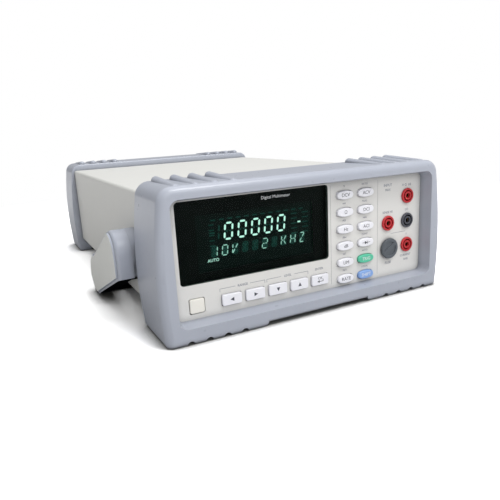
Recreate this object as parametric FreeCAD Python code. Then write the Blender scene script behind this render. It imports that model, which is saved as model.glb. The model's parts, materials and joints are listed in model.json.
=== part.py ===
import FreeCAD, Part
import math
import os

V = FreeCAD.Vector

# A half-rack bench multimeter with a folding carrying handle. Lengths are in millimetres.
# X is to the right and Z is up. While modelling, Y is the depth behind the front face and Z is the
# height above the underside of the bumpers. The export moves every piece forward by half the depth
# and up by the height of the feet, so the origin is the middle of the footprint on the bench.

# Overall body
DEPTH = 374.0
BUMPER_TOP = 96.5
BUMPER_HALF_WIDTH = 114.5       # at WIDEST_Z, where the bowed sides stand out most
WIDEST_Z = 36.0
SIDE_RADIUS = 330.0
BUMPER_TOP_CORNER = 10.0
BUMPER_LOW_CORNER = 3.5
BUMPER_NOSE = 5.0
BUMPER_TOE = 2.5
BUMPER_HEEL = 1.5
BUMPER_LENGTH = 50.5

# Ribs on top of each bumper and feet below it
RIB_PLACES = (59.5, 72.0, 84.5, 97.0)
RIB_RADIUS = 3.2
RIB_FRONT = (6.0, 94.2)         # depth and height of the centre of a rib's front end
RIB_REAR = (43.5, 96.5)
FOOT_INNER = 42.0
FOOT_DROP = 2.5
NOTCH_WIDTH = 5.5
NOTCH_DEPTH = 2.8

# Recess in each bumper: a flared lip, a seat for the panel and a seat for the sleeve
LIP_DEPTH = 10.0
LIP_FLARE = 2.0
OPENING_X = 101.5
OPENING_Z = (10.2, 86.6)
OPENING_CORNER = 4.0
PANEL_SEAT_X = 106.0
PANEL_SEAT_Z = (7.0, 91.0)
PANEL_SEAT_CORNER = 8.2
SLEEVE_SEAT_DEPTH = 19.8
FIT_GAP = 0.2

# Sheet-steel sleeve and chassis tray
SLEEVE_X = 107.5
SLEEVE_Z = (10.5, 90.0)
SLEEVE_CORNER = 2.5
STEEL = 1.2
SLEEVE_END = 20.0
TRAY_X = 105.0
TRAY_Z = 11.8
TRAY_WALL_TOP = 30.0

# Front panel
PANEL_THICKNESS = 2.5
PANEL_BACK = LIP_DEPTH + PANEL_THICKNESS
WINDOW_X = (-97.7, 14.5)
WINDOW_Z = (32.9, 85.8)
WINDOW_CORNER = 2.5
WINDOW_SINK = 0.5
WINDOW_FLANGE = 2.0
BOARD_FRONT = 22.0
BOARD_THICKNESS = 1.6
BOARD_BOSSES = ((-79.0, 27.0), (16.5, 27.0), (59.5, 83.5), (59.5, 16.0))

# Keys
KEY_GAP = 0.3
KEY_FLANGE = 0.9
KEY_FLANGE_Y = (12.7, 13.7)
OVAL_KEY_HALF = (7.0, 3.15)
OVAL_KEY_PROUD = 2.0
OVAL_KEY_COLUMNS = (28.6, 47.2)
OVAL_KEY_TOP = 77.2
OVAL_KEY_PITCH = 12.35
NAV_KEY_HALF = (7.1, 3.75)
NAV_KEY_PROUD = 1.6
NAV_KEY_FIRST = -63.7
NAV_KEY_PITCH = 17.4
NAV_KEY_Z = 18.8
DOME_FRONT = 15.4
MAT_THICKNESS = 1.2

LEFT_KEYS = ("key_dc_voltage", "key_resistance", "key_frequency", "key_decibel", "key_compare", "key_rate")
RIGHT_KEYS = ("key_ac_voltage", "key_dc_current", "key_ac_current", "key_diode", "key_trigger", "key_shift")
NAV_KEYS = ("key_left", "key_right", "key_down", "key_up", "key_enter")

# Power button, and the rod to the mains switch
POWER_X = -87.9
POWER_HALF = (5.05, 4.75)
POWER_PROUD = 0.6
ROD_HALF = 2.5
SWITCH_Y = (236.0, 266.0)
ROD_END = 245.0

# Banana jacks on a 19.05 mm grid, and the current fuse
JACK_PITCH = 19.05
JACK_X = 88.1
JACK_TOP = 70.5
JACK_FLANGE_R = 5.65
JACK_BODY_R = 5.0
JACK_WELL_R = 4.3
JACK_POST_R = 3.15
JACK_CONTACT_R = 2.8
JACK_BORE_R = 2.02
JACK_PROUD = 1.4
JACK_LENGTH = 34.0
RED_JACKS = (
    (JACK_X, JACK_TOP), (JACK_X, JACK_TOP - 2 * JACK_PITCH), (JACK_X - JACK_PITCH, JACK_TOP - JACK_PITCH))
BLACK_JACKS = ((JACK_X, JACK_TOP - JACK_PITCH),)
FUSE_X = 69.9
FUSE_Z = 32.0
FUSE_KNOB_R = 7.9
FUSE_KNOB_FRONT = 7.4
FUSE_BORE_R = 5.1
FUSE_R = 2.5
FUSE_LENGTH = 20.0

# Carrying handle, folded under the case
PIVOT_Y = 70.0
PIVOT_Z = 45.1
PIVOT_R = 6.0
RUNNING_GAP = 0.05
HUB_R = 18.3
HUB_INNER = 108.3
ARM_INNER = 115.5
ARM_OUTER = 126.5
COVER_OUTER = 128.0
ARM_EDGE_ROUND = 2.8
CROSSBAR = ((142.1, -2.1), (147.7, 9.2), (157.0, 9.2), (157.0, -2.1))
CROSSBAR_ROUND = 2.5
GRIP_HALF = 95.0
GRIP_WALL = 1.2
GRIP_GROOVE = 0.5
GRIP_GROOVE_PITCH = 6.0

# Screws: one size for the whole chassis
SCREW_R = 1.25
SCREW_HOLE_R = 1.6
SCREW_HEAD_R = 2.7
SCREW_HEAD = 1.8
SCREW_LENGTH = 8.0

# Main board, on standoffs
MAIN_BOARD_X = (-60.0, 100.0)
MAIN_BOARD_Y = (60.0, 250.0)
MAIN_BOARD_Z = 20.0
STANDOFF_R = 3.5
STANDOFFS = tuple((x, y) for x in (-54.0, 20.0, 94.0) for y in (66.0, 244.0))

# Rear panel
REAR_PANEL_THICKNESS = 1.5
REAR_PANEL_Y = DEPTH - LIP_DEPTH
INLET_FRONT = REAR_PANEL_Y - 20.0
INLET_X = -78.0
INLET_HALF_X = 14.0
INLET_Z = (22.0, 74.0)
DRAWER_HALF_X = 11.8
DRAWER_Z = (27.0, 37.0)
SERIAL_X = 12.0
SERIAL_Z = 52.0
BNC_PLACES = ((52.0, 52.0), (76.0, 52.0))
BNC_R = 4.8

AXES = {"x": V(1, 0, 0), "y": V(0, 1, 0), "z": V(0, 0, 1)}


def box(x, y, z):
    """A block between two limits on each axis."""
    return Part.makeBox(x[1] - x[0], y[1] - y[0], z[1] - z[0], V(x[0], y[0], z[0]))


def rod(axis, centre, radius, span):
    """A cylinder along one axis; centre holds the two other coordinates in X, Y, Z order."""
    starts = {
        "x": V(span[0], centre[0], centre[1]),
        "y": V(centre[0], span[0], centre[1]),
        "z": V(centre[0], centre[1], span[0]),
    }
    return Part.makeCylinder(radius, span[1] - span[0], starts[axis], AXES[axis])


def tube(axis, centre, outer, inner, span):
    """A round tube along one axis."""
    hole = rod(axis, centre, inner, (span[0] - 1, span[1] + 1))
    return rod(axis, centre, outer, span).cut(hole)


def edges_along(shape, axis):
    """The straight edges that run along one axis."""
    lines = [edge for edge in shape.Edges if edge.Curve.TypeId == "Part::GeomLine"]
    return [edge for edge in lines if abs(edge.Curve.Direction.dot(AXES[axis])) > 0.999]


def edges_at_depth(shape, y):
    """The edges that lie wholly in the plane at one depth."""
    boxes = [(edge, edge.BoundBox) for edge in shape.Edges]
    return [edge for edge, b in boxes if abs(b.YMin - y) < 0.01 and abs(b.YMax - y) < 0.01]


def rounded_box(x, y, z, radius, axis="y"):
    """A block with its four edges along one axis rounded."""
    block = box(x, y, z)
    return block.makeFillet(radius, edges_along(block, axis))


def sheet(x, z, radius, y):
    """A closed rounded rectangle outline in the plane at depth y."""
    block = rounded_box(x, (y, y + 1), z, radius)
    faces = [face for face in block.Faces if abs(face.BoundBox.YMax - y) < 0.01]
    return faces[0].OuterWire


def mirror_x(shape):
    """The same piece on the other side of the object."""
    return shape.mirror(V(0, 0, 0), AXES["x"])


def both_sides(shape):
    """A group of a piece and its mirror image."""
    return Part.makeCompound([shape, mirror_x(shape)])


def prism_x(points, x):
    """A straight-sided outline in depth and height, extruded between two values of X."""
    corners = [V(x[0], y, z) for y, z in points]
    return Part.Face(Part.makePolygon(corners + corners[:1])).extrude(V(x[1] - x[0], 0, 0))


def slab(outline, x):
    """A side outline extruded between two values of X."""
    return Part.Face(outline).extrude(V(x[1] - x[0], 0, 0)).translated(V(x[0], 0, 0))


# Bumpers


def side_x(z):
    """How far out the bowed side of a bumper stands at one height."""
    return BUMPER_HALF_WIDTH - SIDE_RADIUS + math.sqrt(SIDE_RADIUS ** 2 - (z - WIDEST_Z) ** 2)


def barrel():
    """The outside of a bumper down to its feet: bowed sides and a large rounding at its nose."""
    base = -FOOT_DROP
    top_x = side_x(BUMPER_TOP)
    base_x = side_x(base)
    right = Part.Arc(V(base_x, 0, base), V(BUMPER_HALF_WIDTH, 0, WIDEST_Z), V(top_x, 0, BUMPER_TOP))
    left = Part.Arc(V(-top_x, 0, BUMPER_TOP), V(-BUMPER_HALF_WIDTH, 0, WIDEST_Z), V(-base_x, 0, base))
    top = Part.makeLine(V(top_x, 0, BUMPER_TOP), V(-top_x, 0, BUMPER_TOP))
    bottom = Part.makeLine(V(-base_x, 0, base), V(base_x, 0, base))
    outline = Part.Wire([right.toShape(), top, left.toShape(), bottom])
    solid = Part.Face(outline).extrude(V(0, BUMPER_LENGTH, 0))
    high = [edge for edge in edges_along(solid, "y") if edge.BoundBox.ZMin > BUMPER_TOP - 1]
    solid = solid.makeFillet(BUMPER_TOP_CORNER, high)
    nose = [edge for edge in edges_at_depth(solid, 0) if edge.BoundBox.ZMax > 0]
    solid = solid.makeFillet(BUMPER_NOSE, nose)
    toe = [edge for edge in edges_at_depth(solid, 0) if edge.BoundBox.ZMax < 0]
    solid = solid.makeFillet(BUMPER_TOE, toe)
    solid = solid.makeFillet(BUMPER_HEEL, edges_at_depth(solid, BUMPER_LENGTH))
    return solid.cut([low_corner(), mirror_x(low_corner())])


def low_corner():
    """What is taken off a bumper's lower right edge to round it."""
    base = -FOOT_DROP
    centre_z = base + BUMPER_LOW_CORNER
    reach = SIDE_RADIUS - BUMPER_LOW_CORNER
    bow_x = BUMPER_HALF_WIDTH - SIDE_RADIUS
    centre_x = bow_x + math.sqrt(reach ** 2 - (centre_z - WIDEST_Z) ** 2)
    outward = V(centre_x - bow_x, 0, centre_z - WIDEST_Z).normalize()
    centre = V(centre_x, 0, centre_z)
    down = V(0, 0, -1)
    on_side = centre + outward * BUMPER_LOW_CORNER
    between = centre + (outward + down).normalize() * BUMPER_LOW_CORNER
    on_base = centre + down * BUMPER_LOW_CORNER
    beyond = V(on_side.x + 1, 0, on_side.z)
    below = V(on_base.x, 0, base - 1)
    edge = Part.Arc(on_side, between, on_base).toShape()
    around = Part.makePolygon([on_base, below, V(beyond.x, 0, base - 1), beyond, on_side])
    cutter = Part.Face(Part.Wire([edge] + around.Edges)).extrude(V(0, BUMPER_LENGTH + 2, 0))
    return cutter.translated(V(0, -1, 0))


def rib(x):
    """One round grip ridge on top, from the nose almost to the heel, with ball ends."""
    front = V(x, RIB_FRONT[0], RIB_FRONT[1])
    rear = V(x, RIB_REAR[0], RIB_REAR[1])
    ridge = Part.makeCylinder(RIB_RADIUS, front.distanceToPoint(rear), front, rear - front)
    return ridge.fuse([Part.makeSphere(RIB_RADIUS, end) for end in (front, rear)])


def foot_relief():
    """The space between the two feet, with sloping ends; the front edge stays round above it."""
    below = -FOOT_DROP - 1
    end = BUMPER_LENGTH + 1
    knee = BUMPER_TOE * (1 - math.sqrt(0.5))
    corners = [
        V(0, BUMPER_TOE, 0), V(0, end, 0), V(0, end, below), V(0, -1, below), V(0, -1, BUMPER_TOE),
        V(0, 0, BUMPER_TOE)]
    nose = Part.Arc(corners[-1], V(0, knee, knee), corners[0]).toShape()
    outline = Part.Wire(Part.makePolygon(corners).Edges + [nose])
    middle = slab(outline, (-FOOT_INNER, FOOT_INNER))
    slope = [
        V(FOOT_INNER, -1, 0), V(FOOT_INNER - below, -1, below), V(FOOT_INNER - 1, -1, below),
        V(FOOT_INNER - 1, -1, 0)]
    wedge = Part.Face(Part.makePolygon(slope + slope[:1])).extrude(V(0, end + 1, 0))
    return middle.fuse([wedge, mirror_x(wedge)])


def foot_notch(x):
    """One groove across the underside of a foot, with a rounded roof."""
    half = NOTCH_WIDTH / 2
    top = NOTCH_DEPTH - FOOT_DROP
    span = (-1, BUMPER_LENGTH + 1)
    roof = rod("y", (x, top - half), half, span)
    return roof.fuse(box((x - half, x + half), span, (-FOOT_DROP - 1, top - half)))


def bumper():
    """A bumper with its nose at depth 0."""
    body = barrel().fuse([rib(side * x) for side in (-1, 1) for x in RIB_PLACES])
    lip_front = sheet(
        (-OPENING_X - LIP_FLARE, OPENING_X + LIP_FLARE),
        (OPENING_Z[0] - LIP_FLARE, OPENING_Z[1] + LIP_FLARE), OPENING_CORNER + LIP_FLARE, 0)
    lip_back = sheet((-OPENING_X, OPENING_X), OPENING_Z, OPENING_CORNER, LIP_DEPTH)
    panel_seat = rounded_box(
        (-PANEL_SEAT_X, PANEL_SEAT_X), (LIP_DEPTH, SLEEVE_SEAT_DEPTH), PANEL_SEAT_Z, PANEL_SEAT_CORNER)
    gap = FIT_GAP / 2
    sleeve_seat = rounded_box(
        (-SLEEVE_X - gap, SLEEVE_X + gap), (SLEEVE_SEAT_DEPTH, BUMPER_LENGTH + 1),
        (SLEEVE_Z[0] - gap, SLEEVE_Z[1] + gap), SLEEVE_CORNER + gap)
    body = body.cut(Part.makeLoft([lip_front, lip_back], True, True))
    body = body.cut([panel_seat, sleeve_seat, foot_relief()])
    return body.cut([foot_notch(side * x) for side in (-1, 1) for x in RIB_PLACES])


def front_bumper():
    return bumper()


def rear_bumper():
    return bumper().mirror(V(0, DEPTH / 2, 0), AXES["y"])


# Sleeve, tray and screws


def case_sleeve():
    span = (SLEEVE_END, DEPTH - SLEEVE_END)
    outer = rounded_box((-SLEEVE_X, SLEEVE_X), span, SLEEVE_Z, SLEEVE_CORNER)
    inner_x = SLEEVE_X - STEEL
    inner = rounded_box(
        (-inner_x, inner_x), (span[0] - 1, span[1] + 1),
        (SLEEVE_Z[0] + STEEL, SLEEVE_Z[1] - STEEL), SLEEVE_CORNER - STEEL)
    holes = rod("x", (PIVOT_Y, PIVOT_Z), PIVOT_R + 0.1, (-SLEEVE_X - 1, SLEEVE_X + 1))
    return outer.cut([inner, holes])


def front_screw_places():
    return [(side * 100.0, 18.0) for side in (-1, 1)]


def rear_screw_places():
    return [(side * 98.0, 18.0) for side in (-1, 1)]


FRONT_TAB_Y = 25.0
REAR_TAB_Y = REAR_PANEL_Y - REAR_PANEL_THICKNESS - STEEL
TAB_TOP = 24.0


def chassis_tray():
    floor_top = TRAY_Z + STEEL
    tray_end = DEPTH - SLEEVE_END - 1
    base = box((-TRAY_X, TRAY_X), (FRONT_TAB_Y, tray_end), (TRAY_Z, floor_top))
    wall = box((TRAY_X - STEEL, TRAY_X), (FRONT_TAB_Y + 5, tray_end - 4), (TRAY_Z, TRAY_WALL_TOP))
    pieces = [wall, mirror_x(wall)]
    for x, z in front_screw_places():
        pieces.append(box((x - 5, x + 5), (FRONT_TAB_Y, FRONT_TAB_Y + STEEL), (TRAY_Z, TAB_TOP)))
    for x, z in rear_screw_places():
        pieces.append(box((x - 6, x + 6), (tray_end - 5, REAR_TAB_Y + STEEL), (TRAY_Z, floor_top)))
        pieces.append(box((x - 6, x + 6), (REAR_TAB_Y, REAR_TAB_Y + STEEL), (TRAY_Z, TAB_TOP)))
    for x, y in STANDOFFS:
        pieces.append(rod("z", (x, y), STANDOFF_R, (TRAY_Z, MAIN_BOARD_Z)))
    tray = base.fuse(pieces)
    holes = [rod("z", place, SCREW_HOLE_R, (TRAY_Z - 1, MAIN_BOARD_Z + 1)) for place in STANDOFFS]
    for places, tab in ((front_screw_places(), FRONT_TAB_Y), (rear_screw_places(), REAR_TAB_Y)):
        holes += [rod("y", place, SCREW_HOLE_R, (tab - 1, tab + 3)) for place in places]
    return tray.cut(holes)


def screw(axis, centre, seat, direction):
    """A pan-head screw; seat is where the head sits, direction is the way the head stands out."""
    shank = sorted((seat, seat - direction * SCREW_LENGTH))
    head = sorted((seat, seat + direction * SCREW_HEAD))
    body = rod(axis, centre, SCREW_R, shank)
    cap = rod(axis, centre, SCREW_HEAD_R, head)
    slot_depth = SCREW_HEAD / 2
    slot_span = sorted((seat + direction * slot_depth, seat + direction * (SCREW_HEAD + 1)))
    recess = rod(axis, centre, SCREW_R, slot_span)
    return body.fuse(cap).cut(recess)


def chassis_screws():
    board_top = MAIN_BOARD_Z + BOARD_THICKNESS
    screws = [screw("z", place, board_top, 1) for place in STANDOFFS]
    screws += [screw("y", place, BOARD_FRONT + BOARD_THICKNESS, 1) for place in BOARD_BOSSES]
    screws += [screw("y", place, FRONT_TAB_Y + STEEL, 1) for place in front_screw_places()]
    screws += [screw("y", place, REAR_PANEL_Y, 1) for place in rear_screw_places()]
    return Part.makeCompound(screws)


# Keys and the front panel


def oval_outline(grow, y):
    """The outline of an oval key, bowed along its long sides and round at its ends."""
    half_x = OVAL_KEY_HALF[0] + grow
    half_z = OVAL_KEY_HALF[1] + grow
    shoulder_x = half_x - 1.7
    shoulder_z = half_z - 0.75
    points = [
        V(shoulder_x, y, shoulder_z), V(0, y, half_z), V(-shoulder_x, y, shoulder_z), V(-half_x, y, 0),
        V(-shoulder_x, y, -shoulder_z), V(0, y, -half_z), V(shoulder_x, y, -shoulder_z), V(half_x, y, 0)]
    arcs = [Part.Arc(points[i], points[i + 1], points[(i + 2) % 8]).toShape() for i in (0, 2, 4, 6)]
    return Part.Wire(arcs)


def oval_prism(grow, span):
    return Part.Face(oval_outline(grow, span[0])).extrude(V(0, span[1] - span[0], 0))


def square_prism(half, grow, span, corner=1.3):
    x = (-half[0] - grow, half[0] + grow)
    z = (-half[1] - grow, half[1] + grow)
    return rounded_box(x, span, z, corner)


def finish_key(cap, flange, front, edge):
    """Join a key cap to its flange and round the cap's front edge."""
    cap = cap.makeFillet(edge, edges_at_depth(cap, front))
    return cap.fuse(flange)


def oval_key(x, z):
    front = LIP_DEPTH - OVAL_KEY_PROUD
    cap = oval_prism(0, (front, KEY_FLANGE_Y[1]))
    key = finish_key(cap, oval_prism(KEY_FLANGE, KEY_FLANGE_Y), front, 0.7)
    return key.translated(V(x, 0, z))


def nav_key(x, z):
    front = LIP_DEPTH - NAV_KEY_PROUD
    cap = square_prism(NAV_KEY_HALF, 0, (front, KEY_FLANGE_Y[1]))
    key = finish_key(cap, square_prism(NAV_KEY_HALF, KEY_FLANGE, KEY_FLANGE_Y), front, 0.5)
    return key.translated(V(x, 0, z))


def oval_key_places():
    """Each oval key's name with its centre."""
    places = {}
    for column, names in zip(OVAL_KEY_COLUMNS, (LEFT_KEYS, RIGHT_KEYS)):
        for row, name in enumerate(names):
            places[name] = (column, OVAL_KEY_TOP - row * OVAL_KEY_PITCH)
    return places


def nav_key_places():
    """Each navigation key's name with its centre."""
    return {name: (NAV_KEY_FIRST + i * NAV_KEY_PITCH, NAV_KEY_Z) for i, name in enumerate(NAV_KEYS)}


def front_panel():
    gap = FIT_GAP / 2
    through = (LIP_DEPTH - 1, PANEL_BACK + 1)
    plate = rounded_box(
        (-PANEL_SEAT_X + FIT_GAP, PANEL_SEAT_X - FIT_GAP), (LIP_DEPTH, PANEL_BACK),
        (PANEL_SEAT_Z[0] + FIT_GAP, PANEL_SEAT_Z[1] - FIT_GAP), PANEL_SEAT_CORNER - FIT_GAP)
    bosses = [rod("y", place, 2.4, (PANEL_BACK, BOARD_FRONT)) for place in BOARD_BOSSES]
    bosses += [rod("y", place, 3.2, (PANEL_BACK, FRONT_TAB_Y)) for place in front_screw_places()]
    cuts = [rounded_box(
        (WINDOW_X[0] - gap, WINDOW_X[1] + gap), through,
        (WINDOW_Z[0] - gap, WINDOW_Z[1] + gap), WINDOW_CORNER)]
    for x, z in oval_key_places().values():
        cuts.append(oval_prism(KEY_GAP, through).translated(V(x, 0, z)))
    for x, z in nav_key_places().values():
        cuts.append(square_prism(NAV_KEY_HALF, KEY_GAP, through).translated(V(x, 0, z)))
    cuts.append(square_prism(POWER_HALF, KEY_GAP + 0.1, through).translated(V(POWER_X, 0, NAV_KEY_Z)))
    cuts += [rod("y", place, JACK_BODY_R + 0.05, through) for place in RED_JACKS + BLACK_JACKS]
    cuts.append(rod("y", (FUSE_X, FUSE_Z), 6.45, through))
    screw_holes = [rod("y", place, SCREW_R, (PANEL_BACK, BOARD_FRONT + 1)) for place in BOARD_BOSSES]
    screw_holes += [rod("y", place, SCREW_R, (PANEL_BACK, FRONT_TAB_Y + 1)) for place in front_screw_places()]
    return plate.fuse(bosses).cut(cuts + screw_holes)


def display_window():
    front = LIP_DEPTH + WINDOW_SINK
    plate = rounded_box(WINDOW_X, (front, PANEL_BACK), WINDOW_Z, WINDOW_CORNER)
    flange = rounded_box(
        (WINDOW_X[0] - WINDOW_FLANGE, WINDOW_X[1] + WINDOW_FLANGE), (PANEL_BACK, PANEL_BACK + 1),
        (WINDOW_Z[0] - WINDOW_FLANGE, WINDOW_Z[1] + WINDOW_FLANGE), WINDOW_CORNER)
    return plate.fuse(flange)


VFD_X = (-84.0, 4.0)
VFD_Z = (38.0, 76.0)
VFD_Y = (14.5, 21.0)


def vfd_display():
    """A flat glass envelope with a row of leads below and an evacuation stub at one end."""
    glass = box(VFD_X, VFD_Y, VFD_Z)
    glass = glass.makeFillet(0.8, glass.Edges)
    leads = []
    for i in range(18):
        x = VFD_X[0] + 8 + i * 4.2
        leads.append(box((x, x + 0.6), (17.6, 18.0), (VFD_Z[0] - 3, VFD_Z[0] + 1)))
        leads.append(box((x, x + 0.6), (17.6, BOARD_FRONT), (VFD_Z[0] - 3.4, VFD_Z[0] - 3)))
    stub = rod("x", (17.8, 57.0), 1.6, (VFD_X[0] - 4, VFD_X[0] + 1))
    return glass.fuse(leads + [stub])


def display_board():
    span = (BOARD_FRONT, BOARD_FRONT + BOARD_THICKNESS)
    board = box((-101.0, 62.4), span, (12.2, 87.0))
    rod_slot = box((POWER_X - 5, POWER_X + 5), (span[0] - 1, span[1] + 1), (NAV_KEY_Z - 5, NAV_KEY_Z + 5))
    corner = box((-102, -94), (span[0] - 1, span[1] + 1), (9, 25))
    holes = [rod("y", place, SCREW_HOLE_R, (span[0] - 1, span[1] + 1)) for place in BOARD_BOSSES]
    return board.cut([rod_slot, corner] + holes)


def keypad_mat():
    """A silicone sheet on the display board with a raised dome behind every key."""
    span = (BOARD_FRONT - MAT_THICKNESS, BOARD_FRONT)
    nav = box((-73, 13.6), span, (13.0, 24.4))
    column = box((20, 56), span, (12.2, 84.0))
    bridge = box((13, 21), span, (13.0, 22.0))
    domes = []
    for x, z in list(oval_key_places().values()) + list(nav_key_places().values()):
        domes.append(Part.makeCone(2.9, 2.2, BOARD_FRONT - DOME_FRONT, V(x, BOARD_FRONT, z), V(0, -1, 0)))
    return nav.fuse([column, bridge] + domes)


def power_button():
    front = LIP_DEPTH - POWER_PROUD
    cap = square_prism(POWER_HALF, 0, (front, BOARD_FRONT - 1))
    flange = square_prism(POWER_HALF, KEY_FLANGE, (PANEL_BACK + 3.6, PANEL_BACK + 4.6))
    button = finish_key(cap, flange, front, 0.6)
    socket = box((-ROD_HALF, ROD_HALF), (BOARD_FRONT - 5, BOARD_FRONT), (-ROD_HALF, ROD_HALF))
    return button.cut(socket).translated(V(POWER_X, 0, NAV_KEY_Z))


def power_push_rod():
    x = (POWER_X - ROD_HALF, POWER_X + ROD_HALF)
    z = (NAV_KEY_Z - ROD_HALF, NAV_KEY_Z + ROD_HALF)
    return box(x, (BOARD_FRONT - 5, ROD_END), z)


def mains_switch():
    """A latching mains switch; the push rod slides in a square guide in its front."""
    body = rounded_box((POWER_X - 7, POWER_X + 7), SWITCH_Y, (TRAY_Z + STEEL, 31.0), 1.0)
    guide = ROD_HALF + RUNNING_GAP
    hole = box(
        (POWER_X - guide, POWER_X + guide), (SWITCH_Y[0] - 1, ROD_END + 3),
        (NAV_KEY_Z - guide, NAV_KEY_Z + guide))
    tag_y = (SWITCH_Y[1] - 1, SWITCH_Y[1] + 6)
    tags = [box((POWER_X + x - 2, POWER_X + x + 2), tag_y, (24.0, 24.8)) for x in (-3.5, 3.5)]
    return body.cut(hole).fuse(tags)


# Jacks and the current fuse


def jack_shell(x, z):
    """A shrouded socket: an outer wall, a ring-shaped well and a centre post with the bore."""
    face = LIP_DEPTH - JACK_PROUD
    collar = face + 2.0
    flange = rod("y", (x, z), JACK_FLANGE_R, (face, LIP_DEPTH))
    flange = flange.makeFillet(0.5, edges_at_depth(flange, face))
    body = rod("y", (x, z), JACK_BODY_R, (LIP_DEPTH, JACK_LENGTH))
    well = tube("y", (x, z), JACK_WELL_R, JACK_POST_R, (face - 1, JACK_LENGTH - 3))
    mouth = rod("y", (x, z), JACK_BORE_R, (face - 1, collar))
    bore = rod("y", (x, z), JACK_CONTACT_R, (collar, JACK_LENGTH + 1))
    return flange.fuse(body).cut([well, mouth, bore])


def jack_contact(x, z):
    """A sprung brass contact tube, closed at the back, with a solder tag."""
    collar = LIP_DEPTH - JACK_PROUD + 2.0
    barrel_part = rod("y", (x, z), JACK_CONTACT_R, (collar, JACK_LENGTH + 1))
    bore = rod("y", (x, z), JACK_BORE_R, (collar - 1, JACK_LENGTH - 1))
    tag = rod("y", (x, z), 1.5, (JACK_LENGTH + 1, JACK_LENGTH + 6))
    return barrel_part.fuse(tag).cut(bore)


def red_jack_shells():
    return Part.makeCompound([jack_shell(x, z) for x, z in RED_JACKS])


def black_jack_shell():
    return jack_shell(*BLACK_JACKS[0])


def jack_contacts():
    return Part.makeCompound([jack_contact(x, z) for x, z in RED_JACKS + BLACK_JACKS])


def bent_wire(points, radius):
    """A round wire through a few points, with a ball at each bend."""
    pieces = [Part.makeCylinder(radius, a.distanceToPoint(b), a, b - a) for a, b in zip(points, points[1:])]
    balls = [Part.makeSphere(radius, point) for point in points[1:-1]]
    return pieces[0].fuse(pieces[1:] + balls)


def jack_wires():
    """Four insulated leads from the jack tags down to the main board."""
    ends = ((88.0, 73.0), (68.0, 73.0), (58.0, 73.0), (78.0, 73.0))
    board_top = MAIN_BOARD_Z + BOARD_THICKNESS
    wires = []
    for (x, z), (end_x, end_y) in zip(RED_JACKS + BLACK_JACKS, ends):
        start = V(x, JACK_LENGTH + 6, z)
        bend = V(x, JACK_LENGTH + 20, z)
        drop = V(end_x, end_y, board_top + 6)
        wires.append(bent_wire([start, bend, drop, V(end_x, end_y, board_top)], 0.9))
    return Part.makeCompound(wires)


def fuse_holder():
    """The fixed part of the fuse holder, a tube through the panel with a contact at its end."""
    place = (FUSE_X, FUSE_Z)
    flange = rod("y", place, 7.3, (LIP_DEPTH - 0.8, LIP_DEPTH))
    body = rod("y", place, 6.4, (LIP_DEPTH, 50))
    nut = rod("y", place, 8.6, (PANEL_BACK, PANEL_BACK + 3))
    tag = box((FUSE_X - 2, FUSE_X + 2), (50, 56), (FUSE_Z - 0.5, FUSE_Z + 0.5))
    bore = rod("y", place, FUSE_BORE_R, (LIP_DEPTH - 2, 46))
    return flange.fuse([body, nut, tag]).cut(bore)


FUSE_CAP_BACK = 9.0
FUSE_SEAT = 17.0


def fuse_carrier():
    """The sliding holder that grips the front cap of the fuse."""
    place = (FUSE_X, FUSE_Z)
    body = rod("y", place, FUSE_BORE_R - 0.08, (FUSE_CAP_BACK + 0.1, FUSE_SEAT + 6))
    pocket = rod("y", place, FUSE_R, (FUSE_SEAT, FUSE_SEAT + 7))
    stem_hole = rod("y", place, 2.0 + RUNNING_GAP, (FUSE_CAP_BACK - 1, FUSE_SEAT - 2))
    return body.cut([pocket, stem_hole])


def current_fuse():
    """A 5 by 20 cartridge: a glass tube with a cap at each end."""
    place = (FUSE_X, FUSE_Z)
    end = FUSE_SEAT + FUSE_LENGTH
    caps = [rod("y", place, FUSE_R, (FUSE_SEAT, FUSE_SEAT + 5)), rod("y", place, FUSE_R, (end - 5, end))]
    return rod("y", place, FUSE_R - 0.2, (FUSE_SEAT, end)).fuse(caps)


def fuse_knob():
    """The round cap: a fluted rim, a shallow dish and a raised bar to turn it by."""
    front = FUSE_KNOB_FRONT
    place = (FUSE_X, FUSE_Z)
    disc = rod("y", place, FUSE_KNOB_R, (front, FUSE_CAP_BACK))
    disc = disc.makeFillet(0.8, edges_at_depth(disc, front))
    dish = rod("y", place, FUSE_KNOB_R - 2.4, (front - 1, front + 0.7))
    bar = box((-FUSE_KNOB_R + 2, FUSE_KNOB_R - 2), (front + 0.1, front + 1.0), (-1.5, 1.5))
    bar.rotate(V(0, 0, 0), AXES["y"], -35)
    flute_circle = FUSE_KNOB_R + 0.45
    flutes = []
    for i in range(20):
        angle = math.radians(i * 18)
        centre = (FUSE_X + flute_circle * math.cos(angle), FUSE_Z + flute_circle * math.sin(angle))
        flutes.append(rod("y", centre, 0.8, (front - 1, FUSE_CAP_BACK + 1)))
    stem = rod("y", place, 2.0, (FUSE_CAP_BACK - 0.5, FUSE_SEAT - 3))
    knob = disc.cut([dish] + flutes)
    return knob.fuse([bar.translated(V(FUSE_X, 0, FUSE_Z)), stem])


# Carrying handle


def in_side_view(y, z):
    """A point of a side outline, in depth and height."""
    return V(0, y, z)


def arm_outline():
    """Side outline of a handle arm: round about the pivot, straight long edges, a round rear end."""
    top = in_side_view(70.0, 63.6)
    front = in_side_view(51.8, 45.5)
    heel = in_side_view(52.6, 32.0)
    toe = in_side_view(131.0, 2.4)
    tip = in_side_view(159.6, 12.0)
    shoulder = in_side_view(136.5, 33.9)
    return Part.Wire([
        Part.Arc(top, in_side_view(57.0, 58.4), front).toShape(),
        Part.Arc(front, in_side_view(51.6, 38.6), heel).toShape(),
        Part.makeLine(heel, toe),
        Part.Arc(toe, in_side_view(150.5, 1.4), tip).toShape(),
        Part.Arc(tip, in_side_view(154.4, 25.6), shoulder).toShape(),
        Part.makeLine(shoulder, top)])


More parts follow.
